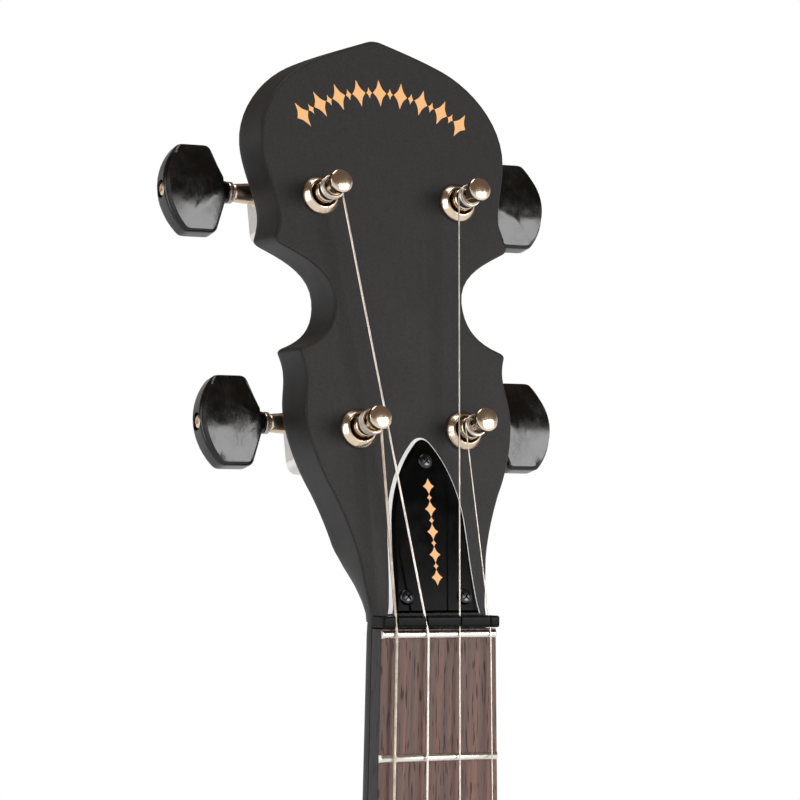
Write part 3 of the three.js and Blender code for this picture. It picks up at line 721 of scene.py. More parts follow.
@dataclass(frozen=True)
class OiledRosewood(Finish):
    """Open-pored rosewood, oiled, striped along the neck."""

    dark: Colour = (0.028, 0.014, 0.011)
    pale: Colour = (0.178, 0.08, 0.056)
    pore: Colour = (0.012, 0.006, 0.005)
    edge: Colour = (0.012, 0.01, 0.009)
    edge_reach: Point2 = (0.12, 0.06)

    def dress(self, s: Surface) -> None:
        """Adds stripes, fibres and dark pores, and stains the two long edges black."""
        w = s.w
        wood = s.use(s.effects.grain, Stripes=420.0)
        tone = w.mix(wood["Stripe"], self.dark, self.pale)
        tone = w.mix(w.times(w.span(wood["Fibre"], 0.35, 0.7), 0.55), tone, self.colour)
        tone = w.mix(w.times(wood["Pore"], 0.75), tone, self.pore)
        x, _, z = w.parts(s.at)
        out = w.math("MULTIPLY_ADD", z, WIDENING / 2, w.math("ABSOLUTE", x))
        start, end = ((NUT_WIDTH / 2 - reach) * MM for reach in self.edge_reach)
        s.set(Base_Color=w.mix(w.span(out, start, end), tone, self.edge))
        s.rough(self.roughness, (wood["Pore"], 0.25))
        s.bump(w.math("SUBTRACT", wood["Fibre"], w.times(wood["Pore"], 1.6)), 0.00012, 0.5)


@dataclass(frozen=True)
class HoopMaple(Finish):
    """Maple bent round a ring, so that its grain follows the hoop."""

    dark: Colour = (0.33, 0.17, 0.07)

    def dress(self, s: Surface) -> None:
        """Adds grain round the hoop and pale flecks across it."""
        w = s.w
        x, y, z = w.parts(s.at)
        down = w.math("SUBTRACT", POT_CENTRE_Z * MM, z)
        run = w.times(w.math("ARCTAN2", x, down), RIM_RADIUS * MM)
        squares = w.math("ADD", w.math("POWER", x, 2.0), w.math("POWER", down, 2.0))
        unrolled = w.vector(X=y, Y=w.math("SQRT", squares), Z=run)
        wood = s.use(s.effects.grain, unrolled, Stripes=150.0)
        tone = w.mix(wood["Stripe"], self.dark, self.colour)
        fleck = w.noise(w.stretched(unrolled, (160, 160, 420)), 1.0, 2)
        s.set(Base_Color=w.mix(w.span(fleck, 0.52, 0.72, 0.4), tone, toned(self.colour, 1.35)))
        s.rough(self.roughness, (fleck, 0.15))
        s.bump(wood["Fibre"], 0.00006, 0.3)


@dataclass(frozen=True)
class CutMaple(Finish):
    """Straight-grained hardwood, sawn across the bridge."""

    def dress(self, s: Surface) -> None:
        """Adds stripes and fibres that run across the instrument."""
        across = s.w.add(
            "ShaderNodeVectorRotate", {"rotation_type": "Y_AXIS"}, Angle=math.pi / 2, Vector=s.at
        )
        wood = s.use(s.effects.grain, across.outputs[0], Stripes=500.0)
        s.set(Base_Color=s.w.mix(wood["Stripe"], toned(self.colour, 0.6), self.colour))
        s.rough(self.roughness, (wood["Fibre"], 0.2))
        s.bump(wood["Fibre"], 0.00006, 0.3)


@dataclass(frozen=True)
class PlatedMetal(Finish):
    """Polished or brushed metal with handling marks."""

    marks: float = 140.0
    tarnish: Colour = (0.36, 0.28, 0.2)

    def dress(self, s: Surface) -> None:
        """Adds smudges to the polish, a faint warm tarnish and hairline rubbing."""
        marks = s.use(s.effects.handling, Size=self.marks)
        share = s.w.times(marks["Smudge"], 0.22)
        s.set(Metallic=1, Base_Color=s.w.mix(share, self.colour, self.tarnish))
        s.rough(self.roughness, (marks["Smudge"], 0.08), (marks["Rub"], 0.05))
        s.bump(marks["Rub"], 0.00002, 0.04)


@dataclass(frozen=True)
class WoundWire(Finish):
    """Steel string; pitch above zero means that it is wrapped with fine wire."""

    pitch: float = 0.0

    def dress(self, s: Surface) -> None:
        """Adds the wrap's ridges, or the drawn marks of a plain string."""
        w = s.w
        marks = s.use(s.effects.handling, Size=300.0)
        s.set(Metallic=1, Base_Color=w.mix(marks["Smudge"], self.colour, toned(self.colour, 0.7)))
        s.rough(self.roughness, (marks["Rub"], 0.12))
        if self.pitch:
            turns = w.times(w.parts(s.at)[2], 2 * math.pi / (self.pitch * MM))
            s.bump(w.math("SINE", turns), 0.00004, 0.6)
        else:
            s.bump(marks["Rub"], 0.00001, 0.02)


@dataclass(frozen=True)
class GlossPlastic(Finish):
    """Polished plastic with smudges and a moulded ripple."""

    smudged: Colour = (0.02, 0.02, 0.02)
    smear: float = 0.12
    coat: float = 0.0

    def dress(self, s: Surface) -> None:
        """Adds smudges to colour and polish, and a faint ripple."""
        s.set(Coat_Weight=self.coat, Coat_Roughness=0.06)
        marks = s.use(s.effects.handling, Size=170.0)
        fine = s.use(s.effects.speckle, Size=900.0)
        share = s.w.times(marks["Smudge"], s.w.math("MULTIPLY_ADD", marks["Rub"], 0.7, 0.3))
        s.set(Base_Color=s.w.mix(share, self.colour, self.smudged))
        s.rough(self.roughness, (share, self.smear))
        s.bump(fine["Height"], 0.00003, 0.12)


@dataclass(frozen=True)
class FrostedFilm(Finish):
    """Frosted white coating on a drum head."""

    handled: Colour = (0.7, 0.67, 0.6)

    def dress(self, s: Surface) -> None:
        """Adds the coating's grit and a faint shade from handling."""
        w = s.w
        fine = s.use(s.effects.speckle, Size=1500.0)
        marks = s.use(s.effects.handling, Size=22.0)
        tone = w.mix(w.times(fine["Tone"], 0.35), self.colour, toned(self.colour, 0.88))
        s.set(Base_Color=w.mix(w.times(marks["Smudge"], 0.12), tone, self.handled))
        s.rough(self.roughness, (marks["Smudge"], 0.08))
        s.bump(fine["Height"], 0.00005, 0.4)


@dataclass(frozen=True)
class InkedMark(Finish):
    """Flat printed or inlaid ornament."""

    def dress(self, s: Surface) -> None:
        """Adds a slight unevenness in the ink."""
        tone = s.use(s.effects.speckle, Size=1800.0)["Tone"]
        s.set(Base_Color=s.w.mix(s.w.times(tone, 0.4), self.colour, toned(self.colour, 0.8)))
        s.rough(self.roughness, (tone, 0.1))


def grey(level: float) -> Colour:
    """A grey of one level."""
    return (level,) * 3


GOLD: Colour = (0.83, 0.43, 0.16)
LACQUER = SatinLacquer(
    "black satin lacquer", "black_satin_lacquer", (0.0165, 0.0153, 0.0149), 0.5, shine=0.24
)
ROSEWOOD = OiledRosewood("oiled rosewood", "rosewood", (0.095, 0.05, 0.037), 0.5)
NICKEL = PlatedMetal("warm nickel plate", "nickel_plate", (0.78, 0.63, 0.48), 0.13)
BRIGHT_NICKEL = PlatedMetal("bright nickel housing", "nickel_plate", (0.8, 0.77, 0.73), 0.16)
FRET_METAL = PlatedMetal(
    "polished fret wire", "nickel_plate", (0.8, 0.76, 0.7), 0.24, 60.0, (0.6, 0.54, 0.46)
)
NUT_BLACK = GlossPlastic(
    "polished black nut", "black_nut", grey(0.005), 0.25, grey(0.009), shine=0.06
)
STEEL = PlatedMetal("rod steel", "rod_steel", (0.5, 0.5, 0.51), 0.3, 90.0)
BRASS = PlatedMetal("turned brass", "brass_fitting", (0.72, 0.5, 0.2), 0.24)
COVER_BLACK = GlossPlastic(
    "cover top ply", "gloss_cover", grey(0.002), 0.09, grey(0.003), shine=0.03
)
COVER_WHITE = GlossPlastic("cover lower ply", "gloss_cover", (0.95, 0.95, 0.94), 0.3, grey(0.85))
SCREW_BLACK = PlatedMetal(
    "blackened screw", "black_screw", (0.055, 0.055, 0.06), 0.22, tarnish=grey(0.02)
)
BUTTON_BLACK = GlossPlastic(
    "button black", "button_black", grey(0.002), 0.12, (0.012, 0.011, 0.01), 0.25, shine=0.42
)
PLAIN_STRING = WoundWire("plain string steel", "string_steel", (0.85, 0.78, 0.7), 0.3)
WOUND_STRING = WoundWire("wound string", "string_steel", (0.8, 0.7, 0.58), 0.3, 0.24)
RIM_MAPLE = HoopMaple("rim maple", "maple", (0.6, 0.37, 0.17), 0.32)
BRIDGE_MAPLE = CutMaple("bridge maple", "bridge_maple", (0.66, 0.44, 0.22), 0.5)
BRIDGE_EBONY = CutMaple("bridge ebony", "bridge_maple", (0.022, 0.017, 0.015), 0.4)
FILM = FrostedFilm("frosted head film", "head_film", (0.84, 0.83, 0.79), 0.55)
HOOP_METAL = PlatedMetal("flesh hoop aluminium", "hoop_aluminium", (0.66, 0.66, 0.67), 0.35, 80.0)
GOLD_INK = InkedMark("pale gold ink", "black_satin_lacquer", GOLD, 0.45)
COVER_INK = InkedMark("pale gold ink on the cover", "gloss_cover", GOLD, 0.4)
PEARL = GlossPlastic("pearl dot", "rosewood", (0.72, 0.72, 0.68), 0.2, (0.5, 0.55, 0.55))


# ---------------------------------------------------------------- workshop


@dataclass
class Workshop:
    """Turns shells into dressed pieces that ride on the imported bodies."""

    effects: SharedEffects
    merge_distance: float = 2e-7
    flats_weight: int = 90
    made: int = 0

    def solid(self, name: str, shell: Shell) -> bpy.types.Object:
        """Makes an object of a shell, in metres, faces outward.

        Args:
            name: The object's name.
            shell: The shell, in millimetres.

        Returns:
            The object.
        """
        mesh = bpy.data.meshes.new(name)
        line = [] if shell.faces else [(k - 1, k) for k in range(1, len(shell.points))]
        mesh.from_pydata([p * MM for p in shell.points], line, shell.faces)
        form = bmesh.new()
        form.from_mesh(mesh)
        bmesh.ops.remove_doubles(form, verts=form.verts, dist=self.merge_distance)
        bmesh.ops.dissolve_degenerate(form, edges=form.edges, dist=self.merge_distance)
        bmesh.ops.recalc_face_normals(form, faces=form.faces)
        form.to_mesh(mesh)
        form.free()
        mesh.shade_smooth()
        mesh.set_sharp_from_angle(angle=math.radians(SHARP_ANGLE))
        return new_object(name, mesh)

    def bake(self, obj: bpy.types.Object) -> bpy.types.Object:
        """Turns an object with modifiers into a plain mesh."""
        graph = bpy.context.evaluated_depsgraph_get()
        mesh = bpy.data.meshes.new_from_object(obj.evaluated_get(graph))
        obj.modifiers.clear()
        obj.data = mesh
        return obj

    def work(
        self, obj: bpy.types.Object, how: Solver, tools: Iterable[Shell],
        smooth: float = SHARP_ANGLE
    ) -> bpy.types.Object:
        """Joins solids to an object, or cuts them from it.

        Args:
            obj: The object.
            how: Whether to join or to cut.
            tools: The other solids.
            smooth: Edges sharper than this many degrees stay sharp.

        Returns:
            The same object with a new mesh.
        """
        for number, shell in enumerate(tools):
            tool = self.solid(f"tool_{number}", shell)
            modifier = obj.modifiers.new("work", "BOOLEAN")
            modifier.operation = how.value
            modifier.solver = "EXACT"
            modifier.object = tool
            self.bake(obj)
            bpy.data.objects.remove(tool)
        obj.data.shade_smooth()
        obj.data.set_sharp_from_angle(angle=math.radians(smooth))
        return obj

    def even_out(self, obj: bpy.types.Object) -> bpy.types.Object:
        """Weights an object's normals by face area, so that its flats shade flat."""
        modifier = obj.modifiers.new("flats", "WEIGHTED_NORMAL")
        modifier.keep_sharp = True
        modifier.weight = self.flats_weight
        return self.bake(obj)

    def dress(self, obj: bpy.types.Object, finish: Finish) -> None:
        """Gives an object one finish."""
        obj.data.materials.clear()
        obj.data.materials.append(finish.material(self.effects))

    def fit(
        self, obj: bpy.types.Object, finish: Finish, body: str, *nodes: str
    ) -> bpy.types.Object:
        """Dresses a finished object and hangs it on a body.

        Args:
            obj: The object.
            finish: Its finish.
            body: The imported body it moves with.
            nodes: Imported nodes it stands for.

        Returns:
            The object.
        """
        self.dress(obj, finish)
        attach(obj, body)
        if nodes:
            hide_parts(*nodes)
        self.made += 1
        LOG.info(
            "%s: %d faces, %s, rides on %s", obj.name, len(obj.data.polygons), finish.name, body
        )
        return obj

    def piece(
        self, name: str, shell: Shell, finish: Finish, body: str, *nodes: str
    ) -> bpy.types.Object:
        """Makes, dresses and hangs a piece in one go.

        Args:
            name: The piece's name.
            shell: Its shape.
            finish: Its finish.
            body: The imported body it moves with.
            nodes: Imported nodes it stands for.

        Returns:
            The object.
        """
        return self.fit(self.even_out(self.solid(name, shell)), finish, body, *nodes)

    def refinish(self, node: str, finish: Finish) -> None:
        """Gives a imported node, whose shape stays, a finish."""
        packed = frame["nodes"][node]
        for slot in packed.material_slots:
            slot.material = finish.material(self.effects)
        LOG.info("%s: packed shape kept, %s", node, finish.name)


# ---------------------------------------------------------------- repeated pieces


class RowTree:
    """A Geometry Nodes tree that sets copies of a blank in a row."""

    INPUTS: dict[str, str] = {}

    def __init__(self, name: str) -> None:
        """Makes the tree with its sockets."""
        self.tree = bpy.data.node_groups.new(name, "GeometryNodeTree")
        self.w = Wiring(self.tree)
        face = self.tree.interface
        face.new_socket("Geometry", in_out="INPUT", socket_type="NodeSocketGeometry")
        kinds = {
            "Blank": "NodeSocketObject", "Finish": "NodeSocketMaterial", "Count": "NodeSocketInt",
            **self.INPUTS
        }
        self.keys = {
            n: face.new_socket(n, in_out="INPUT", socket_type=k).identifier for n,
            k in kinds.items()
        }
        face.new_socket("Geometry", in_out="OUTPUT", socket_type="NodeSocketGeometry")
        self.start = self.w.add("NodeGroupInput")
        self.end = self.w.add("NodeGroupOutput")
        self.wire()

    def value(self, name: str) -> Socket:
        """One of the tree's inputs."""
        return self.start.outputs[name]

    def index(self) -> Socket:
        """The number of each point, from 0."""
        return self.w.add("GeometryNodeInputIndex").outputs[0]

    def wire(self) -> None:
        """Joins the nodes; each kind of row does this its own way."""
        raise NotImplementedError

    def close(self, points: object, rotation: object, scale: object) -> None:
        """Sets the blank on points, makes the copies real and gives them their finish.

        Args:
            points: The points.
            rotation: How each copy turns.
            scale: The size of each copy.
        """
        add = self.w.add
        blank = add("GeometryNodeObjectInfo", Object=self.value("Blank")).outputs["Geometry"]
        copies = add(
            "GeometryNodeInstanceOnPoints", Points=points, Instance=blank, Rotation=rotation,
            Scale=scale
        )
        real = add("GeometryNodeRealizeInstances", Geometry=copies.outputs[0])
        dressed = add(
            "GeometryNodeSetMaterial", Geometry=real.outputs[0], Material=self.value("Finish")
        )
        self.w.put(self.end.inputs[0], dressed.outputs[0])

    def lay(
        self, shop: Workshop, name: str, blank: Shell, finish: Finish, host: Shell | None = None,
        **values: object
    ) -> bpy.types.Object:
        """Runs the tree and returns its result as a plain mesh.

        Args:
            shop: The workshop.
            name: The new object's name.
            blank: What is repeated.
            finish: Its finish.
            host: What the copies are set on, where the tree needs it.
            values: The tree's other inputs.

        Returns:
            The object, with no modifier left.
        """
        pattern = shop.even_out(shop.solid(name + "_blank", blank))
        obj = shop.solid(name, host or Shell())
        modifier = obj.modifiers.new("row", "NODES")
        modifier.node_group = self.tree
        modifier[self.keys["Blank"]] = pattern
        modifier[self.keys["Finish"]] = finish.material(shop.effects)
        for key, value in values.items():
            modifier[self.keys[key.replace("_", " ")]] = value
        shop.bake(obj)
        bpy.data.objects.remove(pattern)
        return obj


class FretLadder(RowTree):
    """Copies spaced as frets are, as wide as the fingerboard is there."""

    INPUTS = {
        "Scale Length": "NodeSocketFloat", "Nut Half": "NodeSocketFloat",
        "Widening": "NodeSocketFloat"
    }

    def wire(self) -> None:
        """Places fret n at the scale length times 1 - 2^(-n/12) below the zero fret."""
        w = self.w
        line = w.add("GeometryNodeMeshLine", Count=self.value("Count"), Offset=(0, 0, 0)).outputs[0]
        share = w.math("POWER", 2.0, w.times(w.math("ADD", self.index(), 1.0), -1 / 12))
        height = w.times(w.math("SUBTRACT", share, 1.0), self.value("Scale Length"))
        moved = w.add("GeometryNodeSetPosition", Geometry=line, Position=w.vector(Z=height))
        half = w.math("SUBTRACT", self.value("Nut Half"), w.times(height, self.value("Widening")))
        self.close(moved.outputs[0], (0, 0, 0), w.vector(X=half, Y=1.0, Z=1.0))


class PotRing(RowTree):
    """Copies turned evenly about the pot's axis; the blank lies on the side away from the neck."""

    INPUTS = {"Centre": "NodeSocketVector", "First Turn": "NodeSocketFloat"}

    def wire(self) -> None:
        """Turns copy n by the first turn and n steps about Y."""
        w = self.w
        settings = {
            "Count": self.value("Count"), "Start Location": self.value("Centre"),
            "Offset": (0, 0, 0)
        }
        line = w.add("GeometryNodeMeshLine", **settings)
        step = w.math("DIVIDE", 2 * math.pi, self.value("Count"))
        turn = w.math("ADD", w.times(self.index(), step), self.value("First Turn"))
        self.close(line.outputs[0], w.vector(Y=turn), (1, 1, 1))


class GuideRow(RowTree):
    """Copies set along a guide at even steps, alternately large and small, square to the face."""

    INPUTS = {"Small Share": "NodeSocketFloat", "Face Turn": "NodeSocketFloat"}

    def wire(self) -> None:
        """Resamples the guide, aligns each copy with it and makes every other one small."""
        w = self.w
        curve = w.add("GeometryNodeMeshToCurve", Mesh=self.value("Geometry")).outputs[0]
        even = w.add(
            "GeometryNodeResampleCurve", {"mode": "COUNT"}, Curve=curve, Count=self.value("Count")
        )
        points = w.add(
            "GeometryNodeCurveToPoints", {"mode": "EVALUATED"}, Curve=even.outputs[0]
        ).outputs
        odd = w.math("FLOORED_MODULO", self.index(), 2.0)
        shrink = w.math("SUBTRACT", 1.0, self.value("Small Share"))
        size = w.math("SUBTRACT", 1.0, w.times(odd, shrink))
        base = w.add(
            "FunctionNodeEulerToRotation", Euler=w.vector(X=self.value("Face Turn"))
        ).outputs[0]
        axes = {"axis": "X", "pivot_axis": "AUTO"}
        way = w.add(
            "FunctionNodeAlignRotationToVector", axes, Vector=points["Tangent"], Rotation=base
        )
        self.close(points["Points"], way.outputs[0], size)


class SpotRow(RowTree):
    """Copies set on each point of a host, all turned the same way."""

    INPUTS = {"Face Turn": "NodeSocketFloat"}

    def wire(self) -> None:
        """Turns each copy to the face."""
        self.close(self.value("Geometry"), self.w.vector(X=self.value("Face Turn")), (1, 1, 1))


@dataclass
class CrossScrew:
    """A cross-recessed pan-head screw, drawn with its seat at height zero."""

    radius: float
    height: float
    sides: int = 32

    def head(self) -> Shell:
        """The head with a short shank under it."""
        r, h = self.radius, self.height
        profile = [(0, -1.2), (0.5 * r, -1.2), (0.5 * r, -0.05), (0.96 * r, -0.05), (r, 0.06 * h)]
        profile += [
            (r, 0.3 * h), (0.93 * r, 0.6 * h), (0.76 * r, 0.84 * h), (0.45 * r, 0.97 * h), (0, h)
        ]
        return turned(profile, self.sides)

    def recess(self) -> list[Shell]:
        """The two tapered slots of the cross."""
        r, h = self.radius, self.height
        reach, half, depth = 0.62 * r, 0.13 * r, 0.75 * h
        slots = []
        for turn in (math.pi / 4, 3 * math.pi / 4):
            low = [
                (-0.4 * reach, -half / 2), (0.4 * reach, -half / 2), (0.4 * reach, half / 2),
                (-0.4 * reach, half / 2)
            ]
            high = [(-reach, -half), (reach, -half), (reach, half), (-reach, half)]
            rings = [
                [Vector((x, y, z)) for x, y in c] for c, z in ((low, h - depth), (high, h + 0.2))
            ]
            slots.append(skin(rings).placed(Matrix.Rotation(turn, 4, "Z")))
        return slots

    def shell(self, shop: Workshop) -> Shell:
        """The finished head as a shell.

        Args:
            shop: The workshop.

        Returns:
            The head with its cross cut.
        """
        obj = shop.work(shop.solid("screw_blank", self.head()), Solver.CUT, self.recess())
        points = [v.co / MM for v in obj.data.vertices]
        faces = [tuple(p.vertices) for p in obj.data.polygons]
        bpy.data.objects.remove(obj)
        return Shell(points, faces)


# ---------------------------------------------------------------- neck


@dataclass
class Neck:
    """Peghead, neck shaft and heel in one piece of lacquered wood."""

    depth_at_nut: float = 13.2
    depth_at_heel: float = 16.5
    heel_depth: float = 53.0
    heel_start: float = -284.0
    volute_z: float = 17.0
    volute_depth: float = 9.0
    clearance: float = 0.3
    crown: tuple[tuple[Point2, Point2, Point2], ...] = (
        ((6.5, 147.4), (13.5, 145.1), (19.3, 142.3)),
        ((27, 138.5), (34.2, 130.3), (34.4, 120.8)),
        ((34.5, 114.3), (31.3, 107.3), (31.15, 102.3)),
        ((31.1, 99.3), (32.2, 96.8), (33.1, 94.4)),
        ((27, 91.2), (18.05, 88.1), (18.05, 80.1)),
        ((18.05, 72.9), (22, 69.1), (29.1, 66.9)),
        ((28.2, 64.8), (27.7, 62.8), (27.7, 60.8)),
        ((27.7, 57.3), (28.75, 54.8), (28.75, 50.8)),
        ((28.75, 44.3), (26.2, 36.3), (23, 30.3)),
        ((20.9, 25.5), (18.6, 19.3), (17.6, 13.8)),
        ((16.74, 6.9), (15.98, 3.45), (15.875, 0)),
    )
    soft_corners: tuple[tuple[Point2, float], ...] = (
        ((0, 149.6), 1.6), ((33.1, 94.4), 1.4), ((29.1, 66.9), 1.2)
    )
    throat: float = 17.0
    thinning: float = 0.15

    def outline(self) -> list[Point2]:
        """The peghead's outline, anticlockwise."""
        right: list[Point2] = [(0, 149.6)]
        for first, second, end in self.crown:
            right += bezier(right[-1], first, second, end, 10)
        right.append((NUT_WIDTH / 2, -2))
        outline = mirrored(right)
        for (x, y), reach in self.soft_corners:
            for side in (1, -1) if x else (1,):
                outline = eased(outline, (side * x, y), reach)
        return outline

    def depth(self, z: float) -> float:
        """How far the neck's back lies behind its front at a height."""
        if z > 0:
            return self.depth_at_nut + (self.volute_depth - self.depth_at_nut) * z / self.volute_z
        share = min(1.0, z / self.heel_start)
        shaft = self.depth_at_nut + (self.depth_at_heel - self.depth_at_nut) * share
        if z > self.heel_start:
            return shaft
        join = POT_CENTRE_Z + RIM_RADIUS
        t = min(1.0, (self.heel_start - z) / (self.heel_start - join - 8))
        return shaft + (self.heel_depth - shaft) * t * t * (3 - 2 * t)

    def plank(self) -> Shell:
        """The peghead, sawn square to the neck; towards the nut its back rounds into the neck."""
        back = -PEGHEAD_THICKNESS
        steps = [(1.2, back), (0.7, back + 0.1), (0.25, back + 0.42), (0, back + 1.2)]
        steps += [(0, back * k / 6) for k in (5, 4, 3, 2, 1)]
        steps += [(0, -0.75), (0.08, -0.36), (0.3, -0.09), (0.7, 0)]

        def move(p: Vector) -> Vector:
            near = max(0.0, min(1.0, 1 - p.y / self.throat))
            near = 0.8 * near**1.5
            waist = math.sqrt(max(0.0, 1 - (0.97 * p.z / back) ** 2))
            x, z = p.x * (1 + (waist - 1) * near), p.z * (1 - self.thinning * near)
            return Vector((x, p.y - p.z * math.tan(TILT), z))

        return slab(self.outline(), steps).reshaped(move).placed(face_frame())

    def shaft(self) -> Shell:
        """The neck's shaft and heel, round at the back and flat at the front."""
        end = POT_CENTRE_Z + RIM_RADIUS - 12
        heights = [self.volute_z * (1 - i / 4) for i in range(5)]
        heights += [self.heel_start * i / 24 for i in range(1, 25)]
        heights += [self.heel_start + (end - self.heel_start) * i / 26 for i in range(1, 27)]
        rings = []
        for z in heights:
            wide, deep = half_neck(z), self.depth(z)
            turns = [math.pi * k / 30 for k in range(31)]
            rings.append(
                [Vector((wide * math.cos(a), BOARD_BACK + deep * math.sin(a), z)) for a in turns]
            )
        return skin(rings)

    def build(self, shop: Workshop) -> None:
        """Joins the shaft to the peghead, trims both and dresses the neck.

        Args:
            shop: The workshop.
        """
        body = shop.solid("neck_wood", self.plank())
        shop.work(body, Solver.JOIN, [self.shaft()])
        trims = [
            block((-50, -6, 0), (50, 60, 30)).placed(face_frame()),
            block((-50, -5, -20), (50, BOARD_BACK, BREAK_Z)),
        ]
        for radius, front, back in ((HOOP_OUTER, -1, 25), (RIM_RADIUS, -2, 77)):
            reach = radius + self.clearance
            disc = turned([(0, front), (reach, front), (reach, back), (0, back)], 180)
            trims.append(disc.placed(pot_frame()))
        shop.work(body, Solver.CUT, trims, smooth=38)
        shop.fit(shop.even_out(body), LACQUER, "frame", "neck")
        shop.refinish("truss_rod", STEEL)
        shop.refinish("truss_rod_nut", BRASS)


@dataclass
class Fingerboard:
    """The board, its frets, the zero fret and the position dots."""

    thickness: float = 5.0
    top: float = 1.3
    length: float = 343.0
    fret_count: int = 17
    fret_width: float = 2.0
    fret_height: float = 1.0
    dot_frets: tuple[int, ...] = (3, 5, 7, 10)
    dot_radius: float = 3.0

    def fret_z(self, number: float) -> float:
        """Height of a fret; halves lie between frets."""
        return -SCALE_LENGTH * (1 - 2 ** (-number / 12))

    def board(self) -> Shell:
        """The board with eased front edges."""
        rings = []
        for z in (self.top, self.top - self.length):
            half = half_neck(z)
            corners = [(half, self.thickness), (half, 0.35), (half - 0.1, 0.1), (half - 0.35, 0)]
            section = corners + [(-x, y) for x, y in reversed(corners)]
            rings.append([Vector((x, y, z)) for x, y in section])
        return skin(rings)

    def fret(self, half: float) -> Shell:
        """A fret with a round crown and eased ends.

        Args:
            half: Half its length; 1000 for a blank that is scaled to metres.

        Returns:
            The shell.
        """
        wide, high = self.fret_width / 2, self.fret_height
        crown = [
            (wide * math.cos(a), -high * math.sin(a)) for a in (math.pi * k / 10 for k in range(11))
        ]
        section = [(-wide, 0.4)] + [(-z, y) for z, y in crown] + [(wide, 0.4)]
        rings = []
        for share, rise in (
            (-1, 0.25), (-0.985, 0.75), (-0.965, 1), (0.965, 1), (0.985, 0.75), (1, 0.25)
        ):
            rings.append([Vector((share * half, y if y > 0 else y * rise, z)) for z, y in section])
        return skin(rings)

    def build(self, shop: Workshop) -> None:
        """Lays the board, its frets and its dots.

        Args:
            shop: The workshop.
        """
        shop.piece("rosewood_board", self.board(), ROSEWOOD, "frame", "fingerboard")
        ladder = FretLadder("fret ladder")
        blank = self.fret(1000.0)
        frets = ladder.lay(
            shop, "frets", blank, FRET_METAL, Count=self.fret_count, Scale_Length=SCALE_LENGTH * MM,
            Nut_Half=(NUT_WIDTH / 2 - 0.1) * MM, Widening=WIDENING / 2,
        )
        shop.fit(frets, FRET_METAL, "frame")
        shop.piece(
            "zero_fret_wire", self.fret(half_neck(0) - 0.1), FRET_METAL, "frame", "zero_fret"
        )
        spots = [Vector((0, 0, self.fret_z(n - 0.5))) for n in self.dot_frets]
        spots += [Vector((x, 0, self.fret_z(11.5))) for x in (-6.5, 6.5)]
        disc = turned([(0, -0.3), (self.dot_radius, -0.3), (self.dot_radius, 0.03), (0, 0.05)], 32)
        dots = SpotRow("dots on the board").lay(
            shop, "position_dots", disc, PEARL, Shell(
                spots
            ), Count=len(spots), Face_Turn=math.pi / 2,
        )
        shop.fit(dots, PEARL, "frame")


@dataclass
class StringRun:
    """One string's route, from the tailpiece over the bridge and the zero fret to its post."""

    name: str
    index: int
    place: Place
    finish: Finish
    nut_span: float = 26.0
    bridge_span: float = 42.0
    tail_span: float = 18.0
    nut_shift: float = 0.6
    gap: float = 0.15
    wind_inner: float = 2.6
    ease: float = 1.2

    def share(self, span: float) -> float:
        """Where the string lies across a span."""
        return span * (self.index / 3 - 0.5)

    def route(self) -> list[Vector]:
        """The corners of the route, in millimetres."""
        radius = self.place.string_radius
        lie = radius + self.gap
        post = face_frame().inverted() @ joint_point("turn_post_" + self.place.label)
        reach = self.wind_inner + radius
        meet = face_frame() @ Vector((post.x - self.place.side * reach, post.y, WIND_HEIGHT))
        bridge_top = HEAD_FRONT - 0.3 - 15.5
        tail_front = POT_CENTRE_Z - HOOP_OUTER - 1.3 + 40
        return [
            Vector((self.share(self.tail_span), 1.2 - lie - 0.3, tail_front - 14)),
            Vector((self.share(self.bridge_span), bridge_top - lie, -SCALE_LENGTH)),
            Vector((self.share(self.nut_span) + self.nut_shift, -1 - lie, 0)),
            meet,
        ]

    def at_height(self, z: float) -> Vector:
        """A point of the run between the zero fret and the post, at a height."""
        low, high = self.route()[2:]
        return low.lerp(high, (z - low.z) / (high.z - low.z))

    def build(self, shop: Workshop) -> None:
        """Draws the string with slightly eased corners.

        Args:
            shop: The workshop.
        """
        corners = self.route()
        path = [corners[0]]
        for before, here, after in zip(corners, corners[1:], corners[2:]):
            start, end = (
                here + (other - here).normalized() * self.ease for other in (before, after)
            )
            path += [bend(start, here, end, k / 4) for k in range(5)]
        path.append(corners[-1])
        shell = tube(path, self.place.string_radius)
        shop.piece("steel_" + self.name, shell, self.finish, "frame", self.name)


